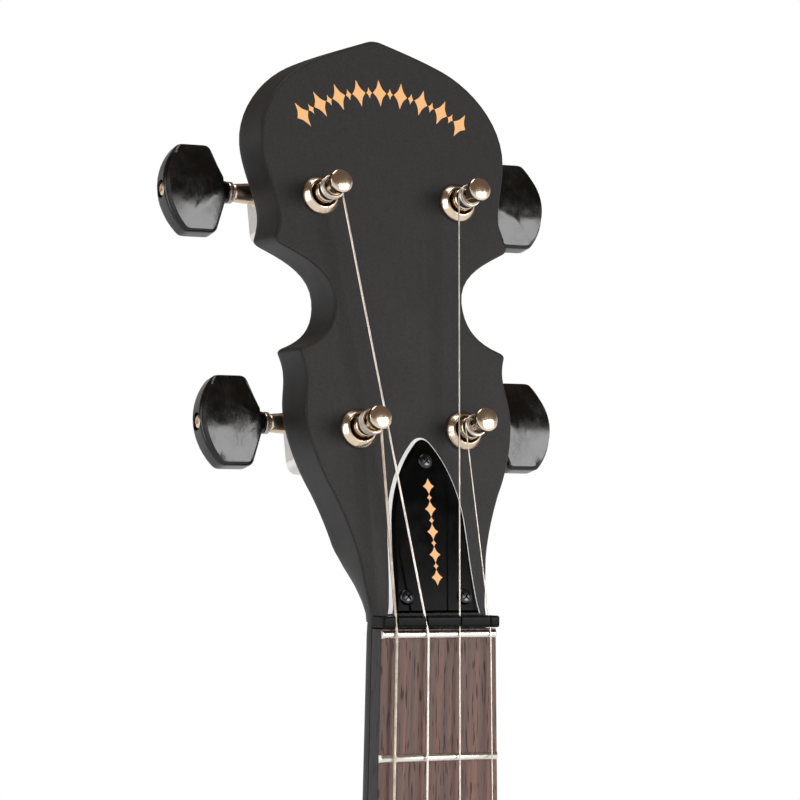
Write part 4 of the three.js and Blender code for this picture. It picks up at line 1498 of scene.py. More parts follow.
@dataclass
class NutBlock:
    """The nut behind the zero fret, slotted for each string."""

    half: float = 16.125
    low: float = 1.6
    thickness: float = 2.9
    proud: float = 1.6
    back: float = 5.0
    end_rounding: tuple[Point2, ...] = ((1, 0.82), (0.992, 0.93), (0.978, 0.985), (0.96, 1))

    def block(self) -> Shell:
        """The nut's bar with a rounded front and rounded ends."""
        z0, z1 = self.low, self.low + self.thickness
        section = rounded(
            [(self.back, z0), (-self.proud, z0), (-self.proud, z1), (self.back, z1)], 0.75, 5
        )
        rings = []
        middle = Vector(((self.back - self.proud) / 2, (z0 + z1) / 2))
        ends = [(-share, shrink) for share, shrink in self.end_rounding]
        for share, shrink in ends + list(reversed(self.end_rounding)):
            shrunk = [middle + (Vector(p) - middle) * shrink for p in section]
            rings.append([Vector((share * self.half, p.x, p.y)) for p in shrunk])
        return skin(rings)

    def build(self, shop: Workshop, runs: Sequence[StringRun]) -> None:
        """Cuts a round-bottomed slot under each string and dresses the nut.

        Args:
            shop: The workshop.
            runs: The strings.
        """
        body = shop.solid("slotted_nut", self.block())
        tools = []
        for run in runs:
            low, high = run.at_height(self.low - 1), run.at_height(self.low + self.thickness + 1)
            wide = run.place.string_radius + 0.04
            tools.append(rod_between(low, high, wide, 12))
            open_front = [
                Vector((x, y, z)) for x, y,
                z in ((-wide, 0, 0), (wide, 0, 0), (wide, -4, 0), (-wide, -4, 0))
            ]
            tools.append(skin([[p + low for p in open_front], [p + high for p in open_front]]))
        shop.work(body, Solver.CUT, tools)
        shop.fit(shop.even_out(body), NUT_BLACK, "frame", "nut")


@dataclass
class RodCover:
    """The two-ply truss rod cover and its screws; Ornament lays the small line ornament on it."""

    length: float = 44.4
    half_width: float = 11.5
    shift: float = 1.4
    lean: float = 0.7
    start: float = 0.2
    top: float = 2.3
    screw: CrossScrew = field(default_factory=lambda: CrossScrew(1.95, 0.95))
    screw_spots: tuple[Point2, ...] = ((1.55, 38.1), (-7.05, 3.9), (8.95, 3.9))

    def outline(self) -> list[Point2]:
        """The top face's outline, anticlockwise."""
        side, high = self.half_width, self.length
        shoulder = (0.84 * side, 0.52 * high)
        right: list[Point2] = [(0, high)]
        right += bezier(
            right[0], (0.55 * side, 0.87 * high), (0.8 * side, 0.66 * high), shoulder, 22
        )
        foot = (side, self.start)
        right += bezier(shoulder, (0.89 * side, 0.36 * high), (0.89 * side, 0.19 * high), foot, 16)
        both = eased(mirrored(right), (0, high), 1.3)
        return [(x + self.shift + self.lean * (y / high) ** 3, y) for x, y in both]

    def ply(self, steps: Sequence[Point2]) -> Shell:
        """One ply, kept clear of the nut.

        Args:
            steps: (inset, height) pairs from the bottom to the top.

        Returns:
            The shell.
        """
        shell = slab(self.outline(), steps)
        return shell.reshaped(
            lambda p: Vector((p.x, max(p.y, self.start), p.z))
        ).placed(face_frame())

    def build(self, shop: Workshop) -> None:
        """Lays both plies and the screws.

        Args:
            shop: The workshop.
        """
        shop.piece(
            "cover_lower_ply", self.ply([(-1.15, 0.05), (-0.47, 0.95)]), COVER_WHITE, "frame"
        )
        upper = [(-0.45, 0.95), (0.25, 2.14), (0.4, self.top)]
        shop.piece("cover_top_ply", self.ply(upper), COVER_BLACK, "frame", "truss_rod_cover")
        host = Shell([face_frame() @ Vector((x, y, self.top)) for x, y in self.screw_spots])
        screws = SpotRow("screws on the cover").lay(
            shop, "cover_screws", self.screw.shell(shop), SCREW_BLACK, host,
            Count=len(self.screw_spots), Face_Turn=math.pi / 2 - TILT,
        )
        shop.fit(
            screws, SCREW_BLACK, "frame", "cover_screw_tip", "cover_screw_left", "cover_screw_right"
        )


@dataclass
class Ornament:
    """Rows of small lozenges: an arch near the peghead's crown and a line on the cover."""

    arch_radius: float = 38.0
    arch_centre_y: float = 97.2
    arch_half_turn: float = 36.0
    arch_count: int = 17
    line_x: float = 1.9
    line_span: Point2 = (8.8, 31.8)
    line_count: int = 9

    def lozenge(self, half_long: float, half_high: float) -> Shell:
        """A flat four-pointed lozenge with hollow sides."""
        outline: list[Point2] = []
        corners = [(half_long, 0), (0, half_high), (-half_long, 0), (0, -half_high)]
        for here, after in zip(corners, corners[1:] + corners[:1]):
            pull = (0.36 * (here[0] + after[0]), 0.36 * (here[1] + after[1]))
            outline += bezier(here, pull, pull, after, 6)
        return skin([[Vector((x, y, z)) for x, y in outline] for z in (0, 0.04)])

    def build(self, shop: Workshop) -> None:
        """Lays both rows.

        Args:
            shop: The workshop.
        """
        place = face_frame()
        guide = Shell()
        for k in range(49):
            turn = math.radians(90 + self.arch_half_turn * (1 - k / 24))
            x, y = self.arch_radius * math.cos(
                turn
            ), self.arch_centre_y + self.arch_radius * math.sin(turn)
            guide.points.append(place @ Vector((x, y, 0.01)))
        low, high = self.line_span
        line = Shell(
            [place @ Vector((self.line_x, y, 2.31)) for y in (low, (low + high) / 2, high)]
        )
        row = GuideRow("lozenges on a guide")
        rows = [
            ("peghead_ornament", guide, self.lozenge(1.9, 3.6), GOLD_INK, self.arch_count, 0.42),
            ("cover_ornament", line, self.lozenge(2.0, 1.5), COVER_INK, self.line_count, 0.45),
        ]
        for name, along, blank, ink, count, small in rows:
            laid = row.lay(
                shop, name, blank, ink, along, Count=count, Small_Share=small,
                Face_Turn=math.pi / 2 - TILT
            )
            shop.fit(laid, ink, "frame")


# ---------------------------------------------------------------- tuning machines


@dataclass
class TuningMachine:
    """One geared tuner: bushing, post, winding, housing, nose, collar, button and screws."""

    place: Place
    post_top: float = 13.0
    hole_height: float = 8.6
    housing_inner: float = 8.8
    housing_outer: float = 8.4
    housing_below: float = 5.9
    housing_above: float = 11.6
    housing_depth: float = 12.2
    nose_length: float = 7.0
    button_half: float = 11.6
    button_thickness: float = 7.8
    button_start: float = 17.0
    button_hub: float = 1.2
    button_flare: float = 3.4
    button_flat: float = 8.4
    button_bow: float = 5.0
    button_dome: float = 1.4

    @property
    def label(self) -> str:
        """The place's name."""
        return self.place.label

    @property
    def button_stations(self) -> list[float]:
        """Where the button's hub ends, its flare ends, its bow starts and its bow ends."""
        steps = (self.button_hub, self.button_flare, self.button_flat, self.button_bow)
        return list(accumulate(steps, initial=self.button_start))[1:]

    @property
    def case_front(self) -> float:
        """Height of the gear case's face against the wood."""
        return -PEGHEAD_THICKNESS - 0.05

    @property
    def nose_end(self) -> float:
        """Where the snout ends along the worm's axis."""
        return self.housing_outer + self.nose_length

    def at_post(self) -> Matrix:
        """The machine's frame: on the post's axis, X pointing away from the peghead's middle."""
        local = face_frame().inverted() @ joint_point("turn_post_" + self.label)
        side = Matrix.Diagonal((self.place.side, 1, 1, 1))
        return face_frame() @ Matrix.Translation((local.x, local.y, 0)) @ side

    def at_worm(self) -> Matrix:
        """A frame on the worm's axis with Z along the axis and X out of the face."""
        local = self.at_post().inverted() @ joint_point("turn_key_" + self.label)
        axes = Matrix(((0, 0, 1, 0), (0, 1, 0, 0), (1, 0, 0, 0), (0, 0, 0, 1)))
        return self.at_post() @ Matrix.Translation((0, local.y, local.z)) @ axes

    def bushing(self) -> Shell:
        """The coned bushing round the post."""
        profile = [
            (3.35, -6), (4.2, -6), (4.2, 0), (5.0, 0), (5.1, 0.12), (5.12, 0.5), (5.02, 0.82),
            (4.82, 1.12)
        ]
        profile += [
            (4.5, 1.5), (4.2, 1.85), (3.98, 2.1), (3.8, 2.24), (3.62, 2.28), (3.48, 2.2),
            (3.38, 2.0)
        ]
        profile += [(3.35, 1.6)]
        return turned(profile, 56, ring=True)

    def post(self) -> Shell:
        """The post with its shoulder, hollow neck and domed cap."""
        foot = -PEGHEAD_THICKNESS - self.housing_depth + 1.7
        under = -PEGHEAD_THICKNESS - 1
        profile = [
            (0, foot), (2, foot), (2, under), (2.9, under), (2.9, 3.9), (2.82, 4.15), (2.62, 4.35)
        ]
        profile += [
            (2.5, 4.9), (2.46, 7.4), (2.42, 8.1), (2.3, 8.9), (2.17, 9.7), (2.12, 10.25),
            (2.2, 10.55)
        ]
        profile += [
            (2.5, 10.8), (2.86, 10.95), (2.98, 11.1), (3.0, 11.35), (3.0, 12.15), (2.94, 12.42)
        ]
        profile += [(2.74, 12.62), (2.35, 12.76), (1.5, 12.92), (0.7, 12.99), (0, self.post_top)]
        return turned(profile, 40)

    def winding(self) -> Shell:
        """Turns of string round the post, the step up to the hole and the clipped end."""
        radius = self.place.string_radius
        reach = 2.52 + radius
        rise = 2 * radius * 1.02
        turns, per_turn = 3.1, 36
        path = []
        for k in range(int(turns * per_turn) + 1):
            t = k / per_turn
            angle = math.pi - 2 * math.pi * t
            climb = max(0.0, t - turns + 0.35) / 0.35
            step = max(0.6, self.hole_height - WIND_HEIGHT - rise * (turns - 0.35)) * 0.8
            height = WIND_HEIGHT + rise * min(t, turns - 0.35) + climb**2 * step
            path.append(Vector((reach * math.cos(angle), reach * math.sin(angle), height)))
        last = path[-1]
        inward = Vector((-last.x, -last.y, 0)).normalized()
        path += [
            last + inward * 0.7 + Vector((0, 0, 0.12)),
            last + inward * 2 * reach + Vector((0, 0, 0.3))
        ]
        return tube(path, radius, 10)

    def housing(self) -> Shell:
        """The closed gear case."""
        corners = [
            (-self.housing_inner, -self.housing_below), (self.housing_outer, -self.housing_below),
            (self.housing_outer, self.housing_above), (-self.housing_inner, self.housing_above),
        ]
        outline = rounded(corners, 3.4, 6)
        front = self.case_front
        back = front - self.housing_depth
        steps = [
            (1.5, back), (0.9, back + 0.12), (0.35, back + 0.5), (0.06, back + 1.05),
            (0, back + 1.7)
        ]
        steps += [(0, front - 0.35), (0.3, front)]
        return slab(outline, steps)

    def nose(self) -> Shell:
        """The tapered snout round the worm's shaft, drawn along Z."""
        a, b = self.housing_outer - 1, self.nose_end
        profile = [
            (0, a), (3.5, a), (3.45, a + 1.1), (3.2, a + 1.7), (2.78, a + 2.1), (2.72, a + 3),
            (2.34, b - 0.7)
        ]
        profile += [(2.3, b - 0.3), (2.15, b - 0.1), (0, b - 0.1)]
        return turned(profile, 40)

    def collar(self) -> Shell:
        """The grooved washer between the nose and the button, drawn along Z."""
        z = self.nose_end
        profile = [
            (0, z), (2.2, z), (2.2, z + 0.12), (2.65, z + 0.2), (2.8, z + 0.42), (2.65, z + 0.66)
        ]
        profile += [
            (2.35, z + 0.72), (2.35, z + 0.86), (2.68, z + 0.92), (2.8, z + 1.16), (2.68, z + 1.38)
        ]
        profile += [(2.1, z + 1.44), (2.1, z + 1.6), (0, z + 1.6)]
        return turned(profile, 40)

    def button_outline(self) -> list[Point2]:
        """The button's keystone outline: (along the axis, along the face)."""
        neck_x, flare_x, flat_x, _ = self.button_stations
        half = self.button_half
        bow_radius = (half**2 + self.button_bow**2) / (2 * self.button_bow)
        swing = math.asin(half / bow_radius)
        centre = flat_x + self.button_bow - bow_radius
        bow = []
        for k in range(1, 16):
            angle = -swing + 2 * swing * k / 16
            bow.append((centre + bow_radius * math.cos(angle), bow_radius * math.sin(angle)))
        lower = rounded(
            [(neck_x, -2.9), (flare_x, -half), (flat_x, -half), bow[0]], 1.5, 5, closed=False
        )
        upper = [(x, -y) for x, y in reversed(lower)]
        return anticlockwise(lower + bow[1:-1] + upper)

    def button(self) -> Shell:
        """The button with rounded rims and flat faces; its hub is drawn by hub()."""
        half = self.button_thickness / 2
        rims = [
            (1.0, -half + 1.1), (0.65, -half + 1.17), (0.28, -half + 1.42), (0.07, -half + 1.75),
            (0, -half + 2.2)
        ]
        rims = [(pull, -half + 1.1) for pull in (9.6, 7.8, 6, 4.2, 2.6)] + rims
        steps = rims + [(pull, -height) for pull, height in reversed(rims)]

        def dome(p: Vector) -> Vector:
            if abs(p.z) < half - 1.15:
                return p
            rise = self.button_dome * (1 - (p.y / (self.button_half - 1)) ** 2)
            return Vector((p.x, p.y, p.z + math.copysign(max(0.0, rise), p.z)))

        return slab(self.button_outline(), steps).reshaped(dome)

    def hub(self) -> Shell:
        """The button's round hub, drawn along Z."""
        z = self.button_start
        profile = [
            (0, z), (2.4, z), (2.75, z + 0.15), (2.9, z + 0.45), (2.95, z + 1.3), (3.3, z + 3.2),
            (0, z + 3.2)
        ]
        return turned(profile, 36)

    def build(self, shop: Workshop) -> None:
        """Makes every piece of the machine.

        Args:
            shop: The workshop.
        """
        post, worm = self.at_post(), self.at_worm()
        key, turns = "key_" + self.label, "post_" + self.label
        shop.piece(
            "bushing_" + self.label, self.bushing().placed(post), NICKEL, "frame",
            "post_bushing_" + self.label
        )
        body = shop.solid("post_" + self.label, self.post().placed(post))
        high = self.hole_height
        hole = rod_between((-5, 0, high), (5, 0, high), 0.62, 16).placed(post)
        shop.work(body, Solver.CUT, [hole])
        shop.fit(shop.even_out(body), NICKEL, turns, "string_post_" + self.label)
        wire = WOUND_STRING if self.place.string_radius > 0.35 else PLAIN_STRING
        winding = self.winding().placed(post)
        shop.piece("winding_" + self.label, winding, wire, turns, "string_winding_" + self.label)
        case = self.housing().placed(post)
        shop.piece(
            "gear_case_" + self.label, case, BRIGHT_NICKEL, "frame", "gear_housing_" + self.label
        )
        shop.piece("case_nose_" + self.label, self.nose().placed(worm), NICKEL, "frame")
        shop.piece("collar_" + self.label, self.collar().placed(worm), NICKEL, key)
        shop.refinish("worm_shaft_" + self.label, STEEL)
        shop.refinish("worm_gear_" + self.label, BRASS)
        self._build_button(shop, worm, key)
        self._build_back_screws(shop, post)

    def _build_button(self, shop: Workshop, worm: Matrix, key: str) -> None:
        """Makes the button and the screw in its end.

        Args:
            shop: The workshop.
            worm: The frame on the worm's axis.
            key: The body that turns with the button.
        """
        lie = self.at_post() @ Matrix.Translation(
            self.at_post().inverted() @ (worm @ Vector((0, 0, 0)))
        )
        button = shop.solid("button_" + self.label, self.button().placed(lie))
        end = self.button_stations[3]
        shop.work(button, Solver.JOIN, [self.hub().placed(worm)])
        sink = turned(
            [(0, end - 1.3), (2.15, end - 1.3), (2.45, end + 1), (0, end + 1)], 36
        ).placed(worm)
        shop.work(button, Solver.CUT, [sink])
        shop.fit(shop.even_out(button), BUTTON_BLACK, key, "tuner_button_" + self.label)
        head = CrossScrew(1.95, 1.0).shell(shop).placed(
            Matrix.Translation((0, 0, end - 1.2))
        ).placed(worm)
        shop.piece("end_screw_" + self.label, head, NICKEL, key, "button_screw_" + self.label)

    def _build_back_screws(self, shop: Workshop, post: Matrix) -> None:
        """Makes the gear screw in the case's back and the fixing ear with its screw.

        Args:
            shop: The workshop.
            post: The frame on the post's axis.
        """
        back = self.case_front - self.housing_depth
        flip = Matrix.Rotation(math.pi, 4, "X")
        ear_y = -self.housing_below - 2.2
        ear = rounded(
            [(-2.9, ear_y - 2.9), (2.9, ear_y - 2.9), (2.9, ear_y + 4), (-2.9, ear_y + 4)], 2.8, 6
        )
        level = -PEGHEAD_THICKNESS
        plate = slab(ear, [(0.35, level - 1.5), (0, level - 1.2), (0, level - 0.05)])
        shop.piece("case_ear_" + self.label, plate.placed(post), BRIGHT_NICKEL, "frame")
        heads = CrossScrew(2.3, 1.0).shell(shop).placed(
            Matrix.Translation((0, 0, back + 0.1)) @ flip
        )
        fixing = CrossScrew(1.7, 0.8).shell(shop).placed(
            Matrix.Translation((0, ear_y, level - 1.45)) @ flip
        )
        shop.piece("case_screws_" + self.label, heads.add(fixing).placed(post), NICKEL, "frame")


# ---------------------------------------------------------------- pot


@dataclass
class Pot:
    """Rim, head, hoops, hooks and the rod through the pot."""

    rim_wall: float = 14.0
    rim_front: float = 16.7
    rim_back: float = 77.0
    collar_end: float = 23.0
    hoop_inner: float = 141.0
    hoop_front: float = 6.8
    hoop_back: float = 17.7
    band_front: float = 46.0
    band_thickness: float = 4.0
    band_width: float = 12.7
    band_gap: float = 25.0
    hook_count: int = 16
    hook_radius: float = 1.6
    hook_bend: float = 3.0
    hook_thread: float = 11.5
    rod_depth: float = 36.0
    sides: int = 168

    def ring(self, inner: float, outer: float, front: float, back: float, ease: float) -> Shell:
        """A ring of rectangular section with eased corners."""
        section = rounded([(inner, front), (outer, front), (outer, back), (inner, back)], ease, 4)
        return turned(section, self.sides, ring=True).placed(pot_frame())

    def head(self) -> Shell:
        """The drum head: a flat film, a rounded crown and its collar."""
        outer, thin = RIM_RADIUS + 0.8, 0.5
        profile = [(0, HEAD_FRONT), (60, HEAD_FRONT), (110, HEAD_FRONT)]
        profile += [
            (outer - 7, HEAD_FRONT), (outer - 2.2, HEAD_FRONT + 0.03),
            (outer - 1.2, HEAD_FRONT + 0.2)
        ]
        profile += [
            (outer - 0.4, HEAD_FRONT + 0.8), (outer, HEAD_FRONT + 2.0), (outer, self.collar_end)
        ]
        profile += [(outer - thin, self.collar_end), (outer - thin, HEAD_FRONT + 2.2)]
        profile += [
            (outer - 1.6, HEAD_FRONT + thin + 0.3), (outer - 7, HEAD_FRONT + thin),
            (0, HEAD_FRONT + thin)
        ]
        return turned(profile, self.sides).placed(pot_frame())

    def hook(self) -> Shell:
        """A hook with its thread and nut, drawn on the side away from the neck."""
        out = HOOP_OUTER + 1.8 + self.hook_radius
        front = self.hoop_front - 0.3 - 1.5
        claw_x = self.hoop_inner + 1
        bend = self.hook_bend
        path = [Vector((0, claw_x, front + 0.2)), Vector((0, claw_x + 1.2, front))]
        path += [Vector((0, out - bend, front))]
        for k in range(1, 7):
            a = math.pi / 2 * k / 6
            path.append(
                Vector((0, out - bend + bend * math.sin(a), front + bend - bend * math.cos(a)))
            )
        nut_foot = self.band_front + self.band_thickness
        path.append(Vector((0, out, nut_foot + self.hook_thread)))
        wire = tube(path, self.hook_radius - 0.1)
        hexagon = turned(
            [(0, 0.8), (3.6, 0.8), (3.9, 1.1), (3.9, 4.9), (3.5, 5.6), (2.6, 6.2), (0, 6.2)], 6
        )
        washer = turned([(0, 0), (4.0, 0), (4.0, 0.8), (0, 0.8)], 24)
        return wire.add(hexagon.add(washer).placed(Matrix.Translation((0, out, nut_foot))))

    def build(self, shop: Workshop) -> None:
        """Makes the pot's pieces.

        Args:
            shop: The workshop.
        """
        inner = RIM_RADIUS - self.rim_wall
        rim = shop.solid(
            "rim_wood", self.ring(inner, RIM_RADIUS, self.rim_front, self.rim_back, 1.6)
        )
        shop.fit(shop.even_out(rim), RIM_MAPLE, "frame", "rim")
        shop.piece("head_film", self.head(), FILM, "frame", "drum_head")
        hoop = self.ring(self.hoop_inner, HOOP_OUTER, self.hoop_front, self.hoop_back, 1.3)
        shop.piece("hoop", hoop, NICKEL, "frame", "tension_hoop")
        band_inner = RIM_RADIUS + 0.05
        band = self.ring(
            band_inner, RIM_RADIUS + 0.3 + self.band_width, self.band_front,
            self.band_front + self.band_thickness, 0.7,
        )
        body = shop.solid("bracket_ring", band)
        gap = block(
            (-self.band_gap, -160, self.band_front - 2), (self.band_gap, 0, self.band_front + 6)
        )
        shop.work(body, Solver.CUT, [gap.placed(pot_frame())])
        shop.fit(shop.even_out(body), NICKEL, "frame", "bracket_band")
        turn = Matrix.Rotation(-math.pi / 2, 4, "X")
        hooks = PotRing("hooks round the pot").lay(
            shop, "hooks_and_nuts", self.hook().placed(turn), NICKEL, Count=self.hook_count,
            Centre=(0, 0, POT_CENTRE_Z * MM), First_Turn=math.pi / self.hook_count,
        )
        shop.fit(hooks, NICKEL, "frame")
        self._build_rod(shop, inner - 0.3)
        kept = {
            "tone_ring": BRASS, "flesh_hoop": HOOP_METAL, "heel_lag_bolt": STEEL,
            "tail_bolt": NICKEL
        }
        for node, finish in kept.items():
            shop.refinish(node, finish)

    def _build_rod(self, shop: Workshop, half: float) -> None:
        """Makes the rod that steadies the neck inside the pot.

        Args:
            shop: The workshop.
            half: Half its length.
        """
        profile = [
            (0, -half), (4.2, -half), (4.75, -half + 0.5), (4.75, -half + 14), (4.45, -half + 14.4)
        ]
        profile += [
            (4.45, half - 14.4), (4.75, half - 14), (4.75, half - 0.5), (4.2, half), (0, half)
        ]
        lie = pot_frame() @ Matrix.Translation(
            (0, 0, self.rod_depth)
        ) @ Matrix.Rotation(math.pi / 2, 4, "X")
        shop.piece(
            "steadying_rod", turned(profile, 36).placed(lie), STEEL, "frame", "coordinator_rod"
        )


@dataclass
class Bridge:
    """A three-footed bridge with a dark top."""

    half: float = 30.0
    rise: float = 15.5
    foot_y: float = 8.9
    thickness: float = 4.5
    crest_thickness: float = 2.4
    cap: float = 1.6

    def tapered(self, shell: Shell) -> Shell:
        """Thins a shell towards the crest and stands it at the scale's end."""
        crest = self.foot_y - self.rise

        def move(p: Vector) -> Vector:
            share = max(0.0, min(1.0, (self.foot_y - p.y) / (self.foot_y - crest)))
            thin = 1 + (self.crest_thickness / self.thickness - 1) * share
            return Vector((p.x, p.y, p.z * thin - SCALE_LENGTH))

        return shell.reshaped(move)

    def outline(self) -> list[Point2]:
        """The body's outline under the cap."""
        crest = self.foot_y - self.rise + self.cap
        half, foot = self.half, self.foot_y
        top = [(half, foot), (half, foot - 5.6), (half - 7, crest + 1.2), (half - 9.2, crest)]
        points = [(-x, y) for x, y in top] + [(x, y) for x, y in reversed(top)]
        arch_half = (half - 13.5) / 2
        for side in (1, -1):
            middle = side * (4.5 + arch_half)
            right, left = (middle + arch_half, foot), (middle - arch_half, foot)
            points.append(right)
            points += bezier(right, (right[0] - 2, foot - 13), (left[0] + 2, foot - 13), left, 14)
        return anticlockwise(points)

    def build(self, shop: Workshop) -> None:
        """Makes the body and its cap.

        Args:
            shop: The workshop.
        """
        deep = self.thickness / 2
        steps = [(0.25, -deep), (0, -deep + 0.3), (0, deep - 0.3), (0.25, deep)]
        shop.piece(
            "bridge_body", self.tapered(slab(self.outline(), steps)), BRIDGE_MAPLE, "frame",
            "bridge"
        )
        crest = self.foot_y - self.rise
        cap_half = self.half - 9.2
        corners = [
            (-cap_half, crest + self.cap), (-cap_half, crest), (cap_half, crest),
            (cap_half, crest + self.cap)
        ]
        cap = slab(anticlockwise(rounded(corners, 0.5, 3)), steps)
        shop.piece("bridge_cap", self.tapered(cap), BRIDGE_EBONY, "frame")


@dataclass
class Tailpiece:
    """The plate at the pot's end, its hinged lid and the pin between them."""

    half_width: float = 9.8
    plate: float = 1.5
    plate_depth: float = 1.2
    ear: float = 1.4

    def plate_shell(self, low: Vector, high: Vector, corner: float, ease: float) -> Shell:
        """A plate in the XZ plane with rounded corners and eased edges."""
        corners = [(low.x, low.z), (high.x, low.z), (high.x, high.z), (low.x, high.z)]
        outline = anticlockwise(rounded(corners, corner, 6))
        shell = slab(
            outline, [(ease, low.y), (0, low.y + ease), (0, high.y - ease), (ease, high.y)]
        )
        return shell.reshaped(lambda p: Vector((p.x, p.z, p.y)))

    def build(self, shop: Workshop) -> None:
        """Makes the base and the lid.

        Args:
            shop: The workshop.
        """
        (base_low, base_high), (lid_low, lid_high), (pin_low, pin_high) = (
            [Vector(c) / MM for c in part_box("tailpiece_" + part)] for part in ("base", "lid", "pin")
        )
        pin_y, pin_z = (pin_low.y + pin_high.y) / 2, (pin_low.z + pin_high.z) / 2
        deck_low = Vector((base_low.x, self.plate_depth, base_low.z))
        deck_high = Vector((base_high.x, self.plate_depth + self.plate, base_high.z))
        base = self.plate_shell(deck_low, deck_high, 2.5, 0.3)
        wall = base_low.z + self.plate
        hanger = block(
            (-self.half_width, self.plate_depth + 0.4, base_low.z),
            (self.half_width, base_high.y, wall)
        )
        base.add(hanger)
        for side in (-1, 1):
            x0, x1 = sorted(
                (side * (self.half_width + 0.3), side * (self.half_width + 0.3 + self.ear))
            )
            front, back = pin_y - 2.4, self.plate_depth + 1
            low, high = pin_z - 2.6, pin_z + 2.6
            ear = rounded([(front, low), (back, low), (back, high), (front, high)], 2.2, 6)
            shell = slab(anticlockwise(ear), [(0.2, x0), (0, x0 + 0.2), (0, x1 - 0.2), (0.2, x1)])
            base.add(shell.reshaped(lambda p: Vector((p.z, p.x, p.y))))
        shop.piece("tailpiece_plate", base, NICKEL, "frame", "tailpiece_base")
        sheet_low = Vector((lid_low.x, lid_low.y, pin_z))
        sheet_high = Vector((lid_high.x, lid_low.y + 1.2, lid_high.z))
        lid = self.plate_shell(sheet_low, sheet_high, 3.5, 0.35)
        x0, x1 = lid_low.x, lid_high.x
        barrel = [(1.2, x0), (1.75, x0), (1.9, x0 + 0.2), (1.9, x1 - 0.2), (1.75, x1), (1.2, x1)]
        along_x = Matrix(((0, 0, 1, 0), (1, 0, 0, pin_y), (0, 1, 0, pin_z), (0, 0, 0, 1)))
        lid.add(turned(barrel, 32, ring=True).placed(along_x))
        shop.piece("hinged_lid", lid, NICKEL, "lid", "tailpiece_lid")
        shop.refinish("tailpiece_pin", STEEL)


# ---------------------------------------------------------------- studio


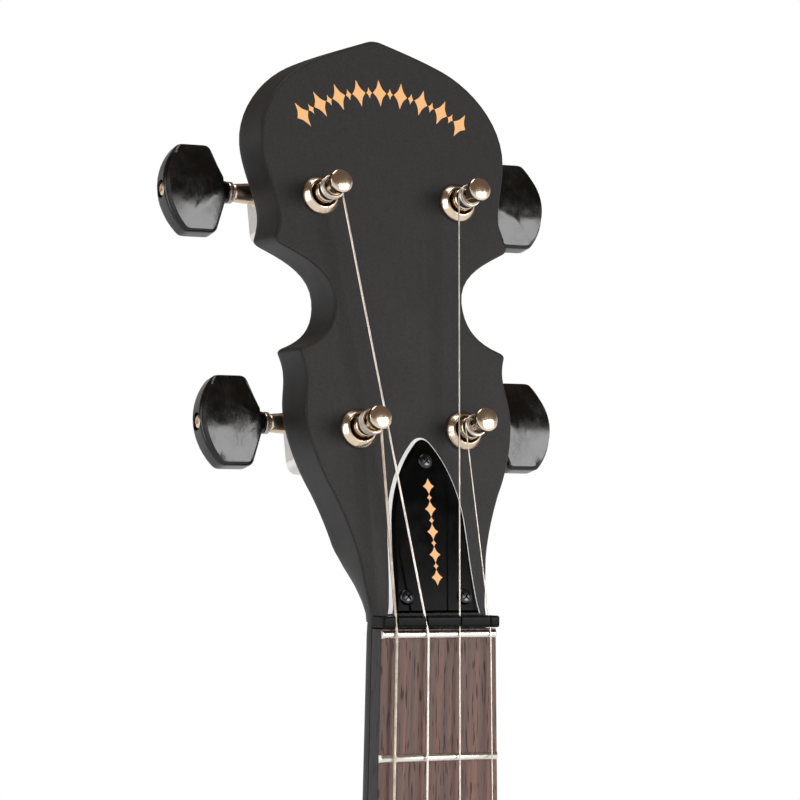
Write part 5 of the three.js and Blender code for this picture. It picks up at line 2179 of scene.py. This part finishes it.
@dataclass
class Studio:
    """A pale floor, soft lights and the camera."""

    azimuth: float = -27.19
    elevation: float = -2.09
    roll: float = 0.45
    distance: float = 779.9
    target: Point3 = (-11.29, 0.0, 56.96)
    lens: float = 144.36
    low_sky: Colour = (0.62, 0.62, 0.63)
    high_sky: Colour = (0.15, 0.115, 0.09)
    sky_change: Point2 = (0.24, 0.34)
    floor_half: float = 30.0
    floor_tones: tuple[Colour, Colour] = (grey(0.86), grey(0.9))
    floor_fade: Point2 = (0.9, 2.2)
    floor_gap: float = 0.0005
    aim: Point3 = (0.0, 0.0, 0.05)
    lamps: tuple[tuple[str, Point3, Point2, float], ...] = (
        ("key soft box", (0.8, -1.37, 0.3), (0.8, 0.62), 14),
        ("left soft box", (-1.5, -0.5, 0.35), (0.6, 1.2), 7),
        ("top soft box", (-0.2, 0.1, 1.5), (1.0, 0.6), 6),
    )

    def camera(self) -> None:
        """Sets the camera towards the peghead."""
        az, el, roll = (math.radians(a) for a in (self.azimuth, self.elevation, self.roll))
        back = Vector((math.sin(az) * math.cos(el), -math.cos(az) * math.cos(el), math.sin(el)))
        right = (-back).cross(Vector((0, 0, 1))).normalized()
        up = right.cross(-back)
        across = right * math.cos(roll) + up * math.sin(roll)
        above = up * math.cos(roll) - right * math.sin(roll)
        data = bpy.data.cameras.new("camera")
        data.lens = self.lens
        data.sensor_width = 36
        data.clip_start = 0.01
        data.clip_end = 200
        camera = new_object("camera", data)
        place = Matrix((across, above, back)).transposed().to_4x4()
        place.translation = (Vector(self.target) + back * self.distance) * MM
        camera.matrix_world = place
        bpy.context.scene.camera = camera

    def light(self, name: str, at: Point3, size: Point2, power: float) -> None:
        """Hangs a soft box.

        Args:
            name: The lamp's name.
            at: Its place, in metres.
            size: Its width and height, in metres.
            power: Watts.
        """
        data = bpy.data.lights.new(name, "AREA")
        data.shape = "RECTANGLE"
        data.size, data.size_y = size
        data.energy = power
        lamp = new_object(name, data)
        lamp.location = at
        lamp.rotation_euler = (Vector(self.aim) - Vector(at)).to_track_quat("-Z", "Y").to_euler()

    def floor(self, level: float) -> None:
        """Lays the floor, which fades to white away from the object.

        Args:
            level: Its height, in metres.
        """
        mesh = bpy.data.meshes.new("floor")
        low, high = -self.floor_half, self.floor_half
        corners = ((low, low), (high, low), (high, high), (low, high))
        mesh.from_pydata([(x, y, level) for x, y in corners], [], [(0, 1, 2, 3)])
        floor = new_object("floor", mesh)
        material = bpy.data.materials.new("pale floor")
        w = cleared(material)
        at = w.add("ShaderNodeTexCoord").outputs["Object"]
        tone = w.mix(w.noise(at, 30.0, 3), *self.floor_tones)
        matt = w.add("ShaderNodeBsdfPrincipled", Roughness=0.9, Base_Color=tone)
        glow = w.add("ShaderNodeEmission", Strength=1.0, Color=(1, 1, 1, 1))
        away = w.add("ShaderNodeVectorMath", {"operation": "LENGTH"}, Vector=at)
        far = w.span(away.outputs["Value"], *self.floor_fade)
        rays = w.add("ShaderNodeLightPath").outputs
        seen = w.math("ADD", rays["Is Camera Ray"], rays["Is Glossy Ray"])
        seen = w.math("ADD", seen, rays["Is Transmission Ray"], clamp=True)
        surface = w.blend(w.times(far, seen), matt.outputs[0], glow.outputs[0])
        w.add("ShaderNodeOutputMaterial", Surface=surface)
        mesh.materials.append(material)
        floor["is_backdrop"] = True

    def world(self) -> None:
        """Makes the sky: white where seen, pale where it lights, dim above where mirrored."""
        world = bpy.data.worlds.new("surroundings")
        bpy.context.scene.world = world
        w = cleared(world)
        rays = w.add("ShaderNodeLightPath").outputs
        rise = w.parts(w.add("ShaderNodeTexCoord").outputs["Generated"])[2]
        not_diffuse = w.math("SUBTRACT", 1.0, rays["Is Diffuse Ray"])
        high = w.times(w.span(rise, *self.sky_change), not_diffuse)
        lighting = w.add(
            "ShaderNodeBackground", Strength=1.0, Color=w.mix(high, self.low_sky, self.high_sky)
        )
        seen = w.add("ShaderNodeBackground", Strength=1.0, Color=(1, 1, 1, 1))
        choice = w.math("ADD", rays["Is Camera Ray"], rays["Is Transmission Ray"], clamp=True)
        w.add(
            "ShaderNodeOutputWorld", Surface=w.blend(choice, lighting.outputs[0], seen.outputs[0])
        )

    def build(self, low_z: float) -> None:
        """Sets up the studio.

        Args:
            low_z: The object's lowest point, in metres.
        """
        self.world()
        self.floor(low_z - self.floor_gap)
        self.camera()
        for lamp in self.lamps:
            self.light(*lamp)
        bpy.context.scene.view_settings.view_transform = "Standard"


# ---------------------------------------------------------------- the whole banjo


def main() -> None:
    """Builds the banjo's pieces in order and sets up the studio."""
    logging.basicConfig(level=logging.INFO, format="%(name)s: %(message)s")
    packed = [list(map(float, corner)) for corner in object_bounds()]
    shop = Workshop(SharedEffects())
    Neck().build(shop)
    Fingerboard().build(shop)
    runs = [
        StringRun("string_fourth", 0, Place.LOWER_LEFT, WOUND_STRING),
        StringRun("string_third", 1, Place.UPPER_LEFT, PLAIN_STRING),
        StringRun("string_second", 2, Place.UPPER_RIGHT, PLAIN_STRING),
        StringRun("string_first", 3, Place.LOWER_RIGHT, PLAIN_STRING),
    ]
    NutBlock().build(shop, runs)
    RodCover().build(shop)
    Ornament().build(shop)
    for place in Place:
        TuningMachine(place).build(shop)
    for run in runs:
        run.build(shop)
    Pot().build(shop)
    Bridge().build(shop)
    Tailpiece().build(shop)
    Studio().build(packed[0][2])
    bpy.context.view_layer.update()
    LOG.info("%d pieces made", shop.made)


if __name__ == "__main__":
    main()
